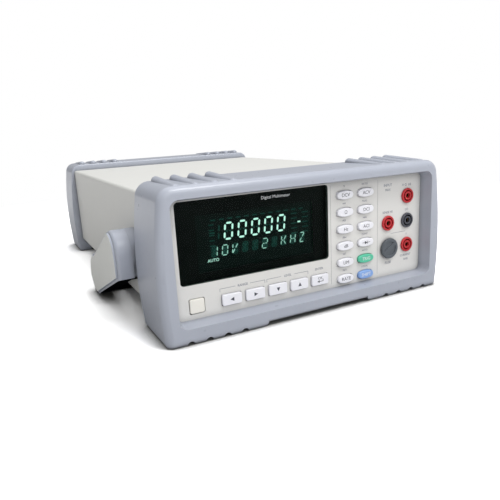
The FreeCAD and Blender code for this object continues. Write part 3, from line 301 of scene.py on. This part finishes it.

# The crevice setting in the bumper, panel and arm materials paints shade into corners and grooves
SLOT_MATERIALS = {
    "case_paint": moulded(
        "case_paint", srgb(221, 221, 217), 0.5, grain=0.6, depth=0.02, mottle=0.02, wear=0.15),
    "bumper": moulded(
        "bumper", BUMPER_COLOUR, 0.3, grain=0.3, depth=0.008, mottle=0.03, shine=0.6, painted_crevice_shade=0.7),
    "panel": moulded(
        "panel", srgb(225, 224, 221), 0.55, grain=0.25, depth=0.006, mottle=0.02, wear=0.1, painted_crevice_shade=0.5),
    "window": tinted_window("window"),
    "display_glass": display_glass("display_glass"),
    "circuit_board": circuit_board("circuit_board"),
    "silicone": moulded("silicone", srgb(205, 205, 208), 0.7),
    "zinc_steel": metal("zinc_steel", srgb(200, 202, 205), 0.4, ALONG_Y),
    "lamination": striped("lamination", srgb(70, 70, 74), srgb(110, 110, 114), 0.5, "Y", 0.5, 0.7),
    "winding_tape": striped("winding_tape", srgb(214, 172, 70), srgb(190, 146, 50), 6.0, "Z", 0.35),
    "tinplate": metal("tinplate", srgb(215, 215, 212), 0.3, ALONG_X),
    "relay_case": moulded("relay_case", srgb(225, 224, 218), 0.35),
    "capacitor_sleeve": moulded("capacitor_sleeve", srgb(30, 34, 60), 0.3),
    "aluminium": metal("aluminium", srgb(195, 197, 200), 0.4, ALONG_Y),
    "ribbon": striped("ribbon", srgb(176, 178, 182), srgb(120, 122, 128), 1.27, "X", 0.5),
    "wire": moulded("wire", srgb(190, 50, 44), 0.4),
    "jack_red": moulded("jack_red", srgb(196, 44, 50), 0.38, grain=0.2, depth=0.004, wear=0.35),
    "jack_black": moulded("jack_black", srgb(72, 74, 82), 0.4, grain=0.2, depth=0.004, wear=0.3),
    "brass": metal("brass", srgb(222, 186, 110), 0.25),
    "fuse_plastic": moulded("fuse_plastic", srgb(88, 94, 100), 0.45, grain=0.3, depth=0.02, wear=0.4),
    "fuse_glass": clear_glass("fuse_glass"),
    "rear_paint": moulded("rear_paint", srgb(205, 205, 202), 0.55, grain=0.5, depth=0.02),
    "connector_black": moulded("connector_black", srgb(38, 38, 40), 0.35),
    "nickel": metal("nickel", srgb(214, 210, 204), 0.22),
    "screw_steel": metal("screw_steel", srgb(205, 205, 206), 0.3),
    "bail_black": moulded("bail_black", srgb(16, 16, 18), 0.75, wear=0.05, shine=0.08),
    "grip_rubber": moulded(
        "grip_rubber", srgb(18, 18, 20), 0.8, grain=0.5, depth=0.02, wear=0.05, shine=0.08),
    "cover_grey": moulded(
        "cover_grey", srgb(226, 227, 223), 0.6, grain=0.4, depth=0.012, mottle=0.03, wear=0.0, shine=0.2,
        rim=BUMPER_COLOUR),
    "key_white": moulded("key_white", srgb(243, 243, 249), 0.4, grain=0.25, depth=0.004, wear=0.0),
    "key_green": moulded("key_green", srgb(92, 200, 164), 0.35, grain=0.25, depth=0.004, wear=0.3),
    "key_blue": moulded("key_blue", srgb(140, 176, 234), 0.35, grain=0.25, depth=0.004, wear=0.3),
    "button_beige": moulded(
        "button_beige", srgb(243, 240, 231), 0.45, grain=0.25, depth=0.004, wear=0.1),
    "rod_white": moulded("rod_white", srgb(225, 225, 218), 0.5),
}

# The arms are near black and without shine where their flat lower edge faces down and forward: partly a
# black strip, partly painted shade under the handle
ARM_GREY = moulded(
    "arm_grey", BUMPER_COLOUR, 0.34, grain=0.3, depth=0.008, mottle=0.03, wear=0.1, painted_crevice_shade=0.7,
    underside=srgb(18, 18, 20))
NODE_MATERIALS = {"arm_left": ARM_GREY, "arm_right": ARM_GREY}

INK_DARK = print_ink("ink_dark", srgb(74, 76, 86))
INK_SOFT = print_ink("ink_soft", srgb(112, 116, 134))
INK_PALE = print_ink("ink_pale", srgb(240, 246, 248))
INK_BLACK = print_ink("ink_black", srgb(8, 9, 10))
GROOVE_SHADE = print_ink("groove_shade", srgb(176, 176, 176))
PHOSPHOR = glow("phosphor", srgb(204, 242, 229), 3.2)
PHOSPHOR_DIM = glow("phosphor_dim", srgb(190, 236, 222), 2.0)
# Unlit strokes and marks get a faint painted glow
UNLIT_PHOSPHOR_PAINTED_GLOW = glow("unlit_phosphor_painted_glow", srgb(44, 92, 84), 1.2)


def dress_cad_nodes():
    """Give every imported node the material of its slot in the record."""
    for subpart in frame["record"]["subparts"]:
        mesh = frame["nodes"][subpart["node"]].data
        material = NODE_MATERIALS.get(subpart["node"], SLOT_MATERIALS[subpart["material_slot"]])
        if not mesh.materials:
            mesh.materials.append(material)
        for index in range(len(mesh.materials)):
            mesh.materials[index] = material


# Flat printed and lit shapes. They lie in planes of constant Y and face the front.


def prism(bm, corners, front, thickness=PRINT_THICKNESS):
    """A flat plate from (x, z) corners in metres, with its front at one depth."""
    near = [bm.verts.new((x, front, z)) for x, z in corners]
    far = [bm.verts.new((x, front + thickness, z)) for x, z in corners]
    count = len(corners)
    bm.faces.new(near)
    bm.faces.new(far[::-1])
    for i in range(count):
        bm.faces.new((near[i], far[i], far[(i + 1) % count], near[(i + 1) % count]))


def rectangle(bm, low, high, front, thickness=PRINT_THICKNESS):
    corners = [(low[0], low[1]), (high[0], low[1]), (high[0], high[1]), (low[0], high[1])]
    prism(bm, corners, front, thickness)


def bar(bm, start, end, width, front, point=0.5):
    """A straight stroke with pointed ends; point is the length of each tip over half the width."""
    a = Vector(start)
    b = Vector(end)
    along = (b - a).normalized()
    side = Vector((-along.y, along.x)) * width / 2
    tip = along * width / 2 * point
    outline = [a, a + tip + side, b - tip + side, b, b - tip - side, a + tip - side]
    prism(bm, [(p.x, p.y) for p in outline], front)


def lettering(bm, text, x, z, size, front):
    """Text centred on a point, as thin solid letters."""
    curve = bpy.data.curves.new("lettering", "FONT")
    curve.body = text
    curve.size = size
    curve.align_x = "CENTER"
    curve.align_y = "CENTER"
    curve.extrude = PRINT_THICKNESS / 2
    curve.resolution_u = 3
    letters = bpy.data.objects.new("lettering", curve)
    bpy.context.scene.collection.objects.link(letters)
    bpy.context.view_layer.update()
    mesh = bpy.data.meshes.new_from_object(letters.evaluated_get(bpy.context.evaluated_depsgraph_get()))
    upright = Matrix.Rotation(math.pi / 2, 4, "X")
    mesh.transform(Matrix.Translation((x, front + PRINT_THICKNESS / 2, z)) @ upright)
    bm.from_mesh(mesh)
    bpy.data.meshes.remove(mesh)
    bpy.data.objects.remove(letters)
    bpy.data.curves.remove(curve)


def piece(name, bm, material, body):
    """Turn a finished bmesh into an object that rides on a body."""
    bmesh.ops.recalc_face_normals(bm, faces=bm.faces)
    mesh = bpy.data.meshes.new(name)
    bm.to_mesh(mesh)
    bm.free()
    mesh.materials.append(material)
    made = bpy.data.objects.new(name, mesh)
    bpy.context.scene.collection.objects.link(made)
    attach(made, body)


# Display

VFD_LOW, VFD_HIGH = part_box("vfd_display")
VFD_SIZE = (88 * MM, 38 * MM)
VFD_LEFT = VFD_HIGH.x - VFD_SIZE[0]
VFD_BASE = VFD_HIGH.z - VFD_SIZE[1]
LIT_Y = VFD_LOW.y - 0.08 * MM

DIGIT_TEXT = "00000"
DIGIT_WIDTH = 5.3 * MM
DIGIT_HEIGHT = 10.4 * MM
DIGIT_PITCH = 9.85 * MM
DIGIT_STROKE = 1.25 * MM
DIGIT_FIRST = VFD_LEFT + 20.0 * MM
DIGIT_BASE = VFD_BASE + 19.9 * MM

LETTER_TEXT = "10V  2 KHZ"
LETTER_WIDTH = 3.7 * MM
LETTER_HEIGHT = 6.5 * MM
LETTER_PITCH = 7.39 * MM
LETTER_STROKE = 0.7 * MM
LETTER_FIRST = VFD_LEFT + 10.3 * MM
LETTER_BASE = VFD_BASE + 9.6 * MM
SLANT = 0.11
SEGMENT_GAP = 0.5

SIGN_STROKE = 1.0 * MM
MINUS_START = DIGIT_FIRST - 10.5 * MM
MINUS_WIDTH = 4.0 * MM
OVERFLOW_START = DIGIT_FIRST - 9.5 * MM
UNIT_START = VFD_HIGH.x - 12.3 * MM
UNIT_WIDTH = 2.6 * MM
UNIT_RISE = 4.2 * MM

TOP_MARKS = 12
TOP_MARK_FIRST = VFD_LEFT + 11.0 * MM
TOP_MARK_PITCH = 6.0 * MM
TOP_MARK_SIZE = (3.4 * MM, 0.8 * MM)
TOP_MARK_DROP = 5.2 * MM
SIDE_ROWS = 5
SIDE_ROW_PITCH = 3.4 * MM
SIDE_MARK_DROP = 8.0 * MM
SIDE_MARK_HEIGHT = 0.7 * MM
SIDE_MARKS = [
    (VFD_HIGH.x - 17.5 * MM, 5.0 * MM), (VFD_HIGH.x - 8.5 * MM, 5.0 * MM), (VFD_LEFT + 9.5 * MM, 3.6 * MM)]

# Ends of the strokes of one character, as shares of its width and height
STROKES = {
    "top": ((0, 1), (1, 1)),
    "bottom": ((0, 0), (1, 0)),
    "left_high": ((0, 0.5), (0, 1)),
    "left_low": ((0, 0), (0, 0.5)),
    "right_high": ((1, 0.5), (1, 1)),
    "right_low": ((1, 0), (1, 0.5)),
    "middle_left": ((0, 0.5), (0.5, 0.5)),
    "middle_right": ((0.5, 0.5), (1, 0.5)),
    "stem_high": ((0.5, 0.5), (0.5, 1)),
    "stem_low": ((0.5, 0), (0.5, 0.5)),
    "slash_high": ((0.5, 0.5), (1, 1)),
    "slash_low": ((0, 0), (0.5, 0.5)),
    "back_high": ((0.5, 0.5), (0, 1)),
    "back_low": ((1, 0), (0.5, 0.5)),
}
SIDES = ["left_high", "left_low", "right_high", "right_low"]
GLYPHS = {
    "0": ["top", "bottom"] + SIDES,
    "2": ["top", "bottom", "middle_left", "middle_right", "right_high", "left_low"],
    "1": ["right_high", "right_low"],
    "V": ["left_high", "left_low", "slash_low", "slash_high"],
    "K": ["left_high", "left_low", "middle_left", "slash_high", "back_low"],
    "H": SIDES + ["middle_left", "middle_right"],
    "Z": ["top", "bottom", "slash_high", "slash_low"],
    " ": [],
}
DIGIT_STROKES = ["top", "bottom", "middle_left", "middle_right"] + SIDES


def character(bm, strokes, corner, size, stroke, front):
    """The listed strokes of one slanted display character."""
    for name in strokes:
        start, end = STROKES[name]
        points = []
        for share in (start, end):
            z = share[1] * size[1]
            points.append(Vector((corner[0] + share[0] * size[0] + SLANT * z, corner[1] + z)))
        along = (points[1] - points[0]).normalized() * stroke * SEGMENT_GAP
        if name.startswith("middle"):
            along = along * 0.6
        bar(bm, points[0] + along, points[1] - along, stroke, front, 1.0)


def display_row(lit, dark, text, first, base, pitch, size, stroke, known):
    """A row of characters: their lit strokes in one mesh and their other strokes in another."""
    for i, symbol in enumerate(text):
        corner = (first + i * pitch, base)
        on = GLYPHS[symbol]
        off = [name for name in known if name not in on]
        character(lit, on, corner, size, stroke, LIT_Y)
        character(dark, off, corner, size, stroke * 0.8, LIT_Y)


def faint_marks(bm):
    """Unlit words of the display, as short bars along its top and sides."""
    top = VFD_HIGH.z - TOP_MARK_DROP
    for i in range(TOP_MARKS):
        x = TOP_MARK_FIRST + TOP_MARK_PITCH * i
        rectangle(bm, (x, top), (x + TOP_MARK_SIZE[0], top + TOP_MARK_SIZE[1]), LIT_Y)
    for row in range(SIDE_ROWS):
        z = VFD_HIGH.z - SIDE_MARK_DROP - SIDE_ROW_PITCH * row
        for x, width in SIDE_MARKS:
            rectangle(bm, (x, z), (x + width, z + SIDE_MARK_HEIGHT), LIT_Y)


def display_characters():
    lit = bmesh.new()
    letters = bmesh.new()
    dark = bmesh.new()
    display_row(
        lit, dark, DIGIT_TEXT, DIGIT_FIRST, DIGIT_BASE, DIGIT_PITCH,
        (DIGIT_WIDTH, DIGIT_HEIGHT), DIGIT_STROKE, DIGIT_STROKES)
    display_row(
        letters, dark, LETTER_TEXT, LETTER_FIRST, LETTER_BASE, LETTER_PITCH,
        (LETTER_WIDTH, LETTER_HEIGHT), LETTER_STROKE, list(STROKES))
    minus_z = DIGIT_BASE + DIGIT_HEIGHT / 2
    bar(dark, (MINUS_START, minus_z), (MINUS_START + MINUS_WIDTH, minus_z), SIGN_STROKE, LIT_Y)
    digit_size = (DIGIT_WIDTH, DIGIT_HEIGHT)
    character(dark, GLYPHS["1"], (OVERFLOW_START, DIGIT_BASE), digit_size, SIGN_STROKE, LIT_Y)
    unit_z = DIGIT_BASE + UNIT_RISE
    bar(lit, (UNIT_START, unit_z), (UNIT_START + UNIT_WIDTH, unit_z), SIGN_STROKE, LIT_Y)
    lettering(lit, "AUTO", LETTER_FIRST + 1.0 * MM, LETTER_BASE - 2.4 * MM, 2.9 * MM, LIT_Y)
    faint_marks(dark)
    piece("display_lit_digits", lit, PHOSPHOR, "instrument")
    piece("display_lit_letters", letters, PHOSPHOR_DIM, "instrument")
    piece("display_dark_segments", dark, UNLIT_PHOSPHOR_PAINTED_GLOW, "instrument")


HEADER_PLACE = 0.625
HEADER_DROP = 5.6 * MM
HEADER_SIZE = 3.0 * MM
MASK_GAP = 0.05 * MM
MASK_THICKNESS = 0.3 * MM
MASK_LAP = 0.4 * MM


def window_header():
    """The kind of instrument, printed on the window above the display."""
    low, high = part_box("display_window")
    across = low.x + HEADER_PLACE * (high.x - low.x)
    front = low.y - PRINT_THICKNESS
    bm = bmesh.new()
    lettering(bm, "Digital Multimeter", across, high.z - HEADER_DROP, HEADER_SIZE, front)
    piece("window_header", bm, INK_PALE, "instrument")


def display_mask():
    """A black frame behind the window that leaves only the display's face in view."""
    low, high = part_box("display_window")
    front = high.y + MASK_GAP
    hole_low = (VFD_LEFT + MASK_LAP, VFD_BASE + MASK_LAP)
    hole_high = (VFD_HIGH.x - MASK_LAP, VFD_HIGH.z - MASK_LAP)
    bm = bmesh.new()
    rectangle(bm, (low.x, low.z), (hole_low[0], high.z), front, MASK_THICKNESS)
    rectangle(bm, (hole_high[0], low.z), (high.x, high.z), front, MASK_THICKNESS)
    rectangle(bm, (hole_low[0], low.z), (hole_high[0], hole_low[1]), front, MASK_THICKNESS)
    rectangle(bm, (hole_low[0], hole_high[1]), (hole_high[0], high.z), front, MASK_THICKNESS)
    piece("display_mask", bm, INK_BLACK, "instrument")


# Printing on the panel and keys

PANEL_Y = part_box("front_panel")[0].y - PRINT_THICKNESS
COLUMN_LEFT = [
    "key_dc_voltage", "key_resistance", "key_frequency", "key_decibel", "key_compare", "key_rate"]
COLUMN_RIGHT = [
    "key_ac_voltage", "key_dc_current", "key_ac_current", "key_diode", "key_trigger", "key_shift"]
NAVIGATION = ["key_left", "key_right", "key_down", "key_up", "key_enter"]
KEY_TEXT = {
    "key_dc_voltage": "DCV", "key_resistance": "Ω", "key_frequency": "Hz", "key_decibel": "dB",
    "key_compare": "LIM", "key_rate": "RATE", "key_ac_voltage": "ACV", "key_dc_current": "DCI",
    "key_ac_current": "ACI", "key_trigger": "TRIG", "key_shift": "SHIFT",
}
SECOND_TEXT = {
    "key_dc_voltage": "%", "key_resistance": "4W", "key_frequency": "PER", "key_decibel": "dBm",
    "key_compare": "SET", "key_rate": "FILT", "key_ac_voltage": "RATIO", "key_dc_current": "NULL",
    "key_ac_current": "MIN", "key_diode": "CONT", "key_trigger": "AUTO", "key_shift": "LOCAL",
}


LEGEND_SIZE = 3.5 * MM
SECOND_SIZE = 1.9 * MM
SECOND_RISE = 6.1 * MM
ARROW_SIZE = 2.7 * MM
ARROW_TURNS = {"key_right": 0, "key_up": 1, "key_left": 2, "key_down": 3}


def middle(node):
    """The centre of a node in X and Z."""
    low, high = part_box(node)
    return (low.x + high.x) / 2, (low.z + high.z) / 2


def triangle(bm, x, z, size, turn, front):
    """A triangle that points right when turn is 0; turn is in quarter turns anticlockwise."""
    angle = turn * math.pi / 2
    corners = []
    for px, pz in ((0.55, 0), (-0.45, 0.5), (-0.45, -0.5)):
        px, pz = px * size, pz * size
        corners.append((x + px * math.cos(angle) - pz * math.sin(angle),
                        z + px * math.sin(angle) + pz * math.cos(angle)))
    prism(bm, corners, front)


def diode_symbol(bm, x, z, front):
    """A triangle against a bar, on a thin wire."""
    triangle(bm, x - 0.3 * MM, z, 2.4 * MM, 0, front)
    rectangle(bm, (x + 1.0 * MM, z - 1.2 * MM), (x + 1.35 * MM, z + 1.2 * MM), front)
    rectangle(bm, (x - 3.6 * MM, z - 0.15 * MM), (x + 3.4 * MM, z + 0.15 * MM), front)


def enter_symbol(bm, x, z, front):
    """An arrow that turns back to the left, under a short word."""
    triangle(bm, x - 1.7 * MM, z - 1.0 * MM, 1.9 * MM, 2, front)
    rectangle(bm, (x - 1.2 * MM, z - 1.2 * MM), (x + 2.4 * MM, z - 0.8 * MM), front)
    rectangle(bm, (x + 2.0 * MM, z - 0.8 * MM), (x + 2.4 * MM, z + 0.6 * MM), front)
    lettering(bm, "OK", x - 0.2 * MM, z + 1.3 * MM, 2.6 * MM, front)


def key_legends():
    """The printing on each key, as a piece that moves with the key."""
    for node in COLUMN_LEFT + COLUMN_RIGHT + NAVIGATION:
        x, z = middle(node)
        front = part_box(node)[0].y - PRINT_THICKNESS
        bm = bmesh.new()
        ink = INK_PALE if node in ("key_trigger", "key_shift") else INK_DARK
        if node in KEY_TEXT:
            lettering(bm, KEY_TEXT[node], x, z, LEGEND_SIZE, front)
        elif node == "key_diode":
            diode_symbol(bm, x, z, front)
        elif node == "key_enter":
            enter_symbol(bm, x, z, front)
        else:
            triangle(bm, x, z, ARROW_SIZE, ARROW_TURNS[node], front)
        piece("legend_" + node, bm, ink, node)


LINE = 0.2 * MM
BRACKET_RISE = 3.2 * MM
BRACKET_HALF_GAP = 5.4 * MM
BRACKET_END = 2.0 * MM
SMALL_TEXT = 2.3 * MM
JACK_RADIUS = 5.65 * MM
JACK_PITCH = 19.05 * MM


def bracket(bm, first, last, label, z):
    """A printed line over a pair of keys, broken by its label, with short ends that turn down."""
    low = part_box(first)[0].x
    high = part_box(last)[1].x
    centre = (low + high) / 2
    rectangle(bm, (low, z), (centre - BRACKET_HALF_GAP, z + LINE), PANEL_Y)
    rectangle(bm, (centre + BRACKET_HALF_GAP, z), (high, z + LINE), PANEL_Y)
    rectangle(bm, (low, z - BRACKET_END), (low + LINE, z), PANEL_Y)
    rectangle(bm, (high - LINE, z - BRACKET_END), (high, z), PANEL_Y)
    lettering(bm, label, centre, z, SMALL_TEXT, PANEL_Y)


def terminal_print(bm):
    """Words beside the jacks and the fuse; each rise is counted from the row of jacks it belongs to."""
    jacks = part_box("red_jack_shells")[1]
    right = jacks.x - JACK_RADIUS
    left = right - JACK_PITCH
    top = jacks.z - JACK_RADIUS
    second = top - JACK_PITCH
    third = second - JACK_PITCH
    fuse_x, fuse_z = middle("fuse_knob")
    labels = [
        ("V Ω  HI", right - 0.5 * MM, top + 8.2 * MM, 2.8), ("LO", right, second + 8.4 * MM, 2.6),
        ("SENSE HI", left, second + 8.2 * MM, 2.5), ("INPUT", left, top + 9.5 * MM, 2.8),
        ("MAX", left, top + 6.0 * MM, 2.4), ("I", right, third + 8.2 * MM, 2.6),
        ("CURRENT", right - 0.5 * MM, third - 8.6 * MM, 2.4), ("RMS", right, third - 12.0 * MM, 2.4),
        ("FUSE", fuse_x, fuse_z - 11.6 * MM, 2.8),
    ]
    for text, x, z, size in labels:
        lettering(bm, text, x, z, size * MM, PANEL_Y)
    line_z = second - 8.6 * MM
    rectangle(bm, (fuse_x + 2.5 * MM, line_z), (right - 1.0 * MM, line_z + LINE), PANEL_Y)


def panel_print():
    bm = bmesh.new()
    nav_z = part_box("key_enter")[1].z + BRACKET_RISE
    bracket(bm, "key_left", "key_right", "RANGE", nav_z)
    bracket(bm, "key_down", "key_up", "LEVEL", nav_z)
    lettering(bm, "ENTER", middle("key_enter")[0], nav_z, SMALL_TEXT, PANEL_Y)
    terminal_print(bm)
    piece("panel_print", bm, INK_SOFT, "instrument")
    soft = bmesh.new()
    for node, text in SECOND_TEXT.items():
        x, z = middle(node)
        lettering(soft, text, x, z + SECOND_RISE, SECOND_SIZE, PANEL_Y)
    piece("panel_print_small", soft, INK_SOFT, "instrument")


DIVIDER_WIDTH = 0.3 * MM
DIVIDER_MARGIN = 6.0 * MM
BEFORE_KEYS = 12.1 * MM
AFTER_KEYS = 12.0 * MM


def panel_grooves():
    """Two upright lines that divide the panel into display, keys and terminals, drawn as grey painted
    groove shade.
    """
    low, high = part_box("front_panel")
    left_column = middle("key_dc_voltage")[0]
    right_column = middle("key_ac_voltage")[0]
    bm = bmesh.new()
    for x in (left_column - BEFORE_KEYS, right_column + AFTER_KEYS):
        low_corner = (x, low.z + DIVIDER_MARGIN)
        rectangle(bm, low_corner, (x + DIVIDER_WIDTH, high.z - DIVIDER_MARGIN), PANEL_Y)
    piece("panel_dividers", bm, GROOVE_SHADE, "instrument")


# Floor, light and camera

FLOOR_HALF = 12.0
PAPER_SEEN = (1.8, 1.8, 1.8, 1.0)
PAPER_SHADED = (0.22, 0.22, 0.21, 1.0)
SHADE_REACH = 14.0
PAPER_FADE = (0.35, 0.7)
PAPER_LOW = (0.50, 0.50, 0.50, 1.0)
PAPER_HIGH = (0.55, 0.55, 0.55, 1.0)
SKY_LOW = 0.14
SKY_HIGH = 0.72
SKY_FALL_END = -0.9
SKY_BRIGHTEST = Vector((0.4, -0.5, 0.77))
LIGHT_TARGET = Vector((0, 0, 0.05))


def floor_paper():
    """Paper that looks brighter than the light it throws back, and an even white further away.

    It is darker close to whatever stands on it, as a painted contact shadow, and cannot be seen from
    below.
    """
    graph = Graph("floor_paper")
    paper = graph.mix(graph.noise(120.0), PAPER_LOW, PAPER_HIGH)
    seen = graph.add("LightPath").outputs["Is Camera Ray"]
    # Painted contact shadow: darker where the paper is close to the object
    bright = graph.mix(graph.crevices(SHADE_REACH), PAPER_SHADED, PAPER_SEEN)
    graph.put(graph.shader, "Base Color", graph.mix(seen, paper, bright))
    graph.put(graph.shader, "Roughness", 0.9)
    graph.put(graph.shader, "Specular IOR Level", 0.1)
    flat = graph.add("VectorMath", {0: graph.place, 1: (1, 1, 0)}, operation="MULTIPLY").outputs["Vector"]
    away = graph.add("VectorMath", {0: flat}, operation="LENGTH").outputs["Value"]
    inputs = {"Value": away, "From Min": PAPER_FADE[0], "From Max": PAPER_FADE[1]}
    far = graph.add("MapRange", inputs).outputs["Result"]
    even = graph.add("Emission", {"Color": (1, 1, 1, 1), "Strength": 1.0})
    mixed = graph.add("MixShader", {0: far})
    graph.links.new(graph.shader.outputs[0], mixed.inputs[1])
    graph.links.new(even.outputs[0], mixed.inputs[2])
    from_below = graph.add("MixShader", {0: graph.add("NewGeometry").outputs["Backfacing"]})
    graph.links.new(mixed.outputs[0], from_below.inputs[1])
    graph.links.new(graph.add("BsdfTransparent").outputs[0], from_below.inputs[2])
    graph.links.new(from_below.outputs[0], graph.output.inputs["Surface"])
    return graph.material


def floor():
    bm = bmesh.new()
    bmesh.ops.create_grid(bm, x_segments=1, y_segments=1, size=FLOOR_HALF)
    mesh = bpy.data.meshes.new("floor")
    bm.to_mesh(mesh)
    bm.free()
    mesh.materials.append(floor_paper())
    made = bpy.data.objects.new("floor", mesh)
    bpy.context.scene.collection.objects.link(made)


def area_light(name, place, size, power):
    """A soft white rectangle of light, aimed at the middle of the object."""
    lamp = bpy.data.lights.new(name, "AREA")
    lamp.shape = "RECTANGLE"
    lamp.size = size[0]
    lamp.size_y = size[1]
    lamp.energy = power
    made = bpy.data.objects.new(name, lamp)
    made.location = place
    made.rotation_euler = (LIGHT_TARGET - Vector(place)).to_track_quat("-Z", "Y").to_euler()
    bpy.context.scene.collection.objects.link(made)


def surroundings():
    """White behind the object; the light that falls on it is brightest from above, in front and right."""
    world = bpy.data.worlds.new("studio")
    bpy.context.scene.world = world
    world.use_nodes = True
    nodes = world.node_tree.nodes
    links = world.node_tree.links
    seen = nodes.new("ShaderNodeLightPath").outputs["Is Camera Ray"]
    towards = nodes.new("ShaderNodeVectorMath")
    towards.operation = "DOT_PRODUCT"
    towards.inputs[1].default_value = SKY_BRIGHTEST
    links.new(nodes.new("ShaderNodeTexCoord").outputs["Generated"], towards.inputs[0])
    fall = nodes.new("ShaderNodeMapRange")
    fall.inputs["From Min"].default_value = SKY_FALL_END
    fall.inputs["To Min"].default_value = SKY_LOW
    fall.inputs["To Max"].default_value = SKY_HIGH
    links.new(towards.outputs["Value"], fall.inputs["Value"])
    strength = nodes.new("ShaderNodeMapRange")
    strength.inputs["To Max"].default_value = 1.0
    links.new(seen, strength.inputs["Value"])
    links.new(fall.outputs["Result"], strength.inputs["To Min"])
    links.new(strength.outputs["Result"], nodes["Background"].inputs["Strength"])
    nodes["Background"].inputs["Color"].default_value = (1, 1, 1, 1)


def lights():
    area_light("key_light", (0.35, -0.8, 1.4), (0.6, 0.4), 10.0)
    area_light("front_light", (0.1, -1.35, 0.85), (0.9, 0.5), 3.5)
    area_light("top_light", (0.05, 0.30, 1.7), (1.5, 1.2), 8.0)


CAMERA_PLACE = (-0.1909, -0.4618, 0.1292)
CAMERA_AZIMUTH = math.radians(-26.6)
CAMERA_ELEVATION = math.radians(13.69)
CAMERA_ROLL = math.radians(-3.1)


def camera():
    """The camera, turned about the upright, then tipped down, then rolled."""
    sin_a, cos_a = math.sin(CAMERA_AZIMUTH), math.cos(CAMERA_AZIMUTH)
    sin_e, cos_e = math.sin(CAMERA_ELEVATION), math.cos(CAMERA_ELEVATION)
    right = Vector((cos_a, sin_a, 0))
    forward = Vector((-sin_a * cos_e, cos_a * cos_e, -sin_e))
    up = right.cross(forward)
    turned_right = right * math.cos(CAMERA_ROLL) + up * math.sin(CAMERA_ROLL)
    turned_up = up * math.cos(CAMERA_ROLL) - right * math.sin(CAMERA_ROLL)
    lens = bpy.data.cameras.new("camera")
    lens.lens = 36.0
    lens.sensor_width = 36.0
    made = bpy.data.objects.new("camera", lens)
    turn = Matrix((turned_right, turned_up, -forward)).transposed().to_4x4()
    made.matrix_world = Matrix.Translation(CAMERA_PLACE) @ turn
    bpy.context.scene.collection.objects.link(made)
    bpy.context.scene.camera = made


dress_cad_nodes()
display_characters()
display_mask()
window_header()
key_legends()
panel_print()
panel_grooves()
floor()
surroundings()
lights()
camera()
bpy.context.scene.view_settings.view_transform = "Standard"
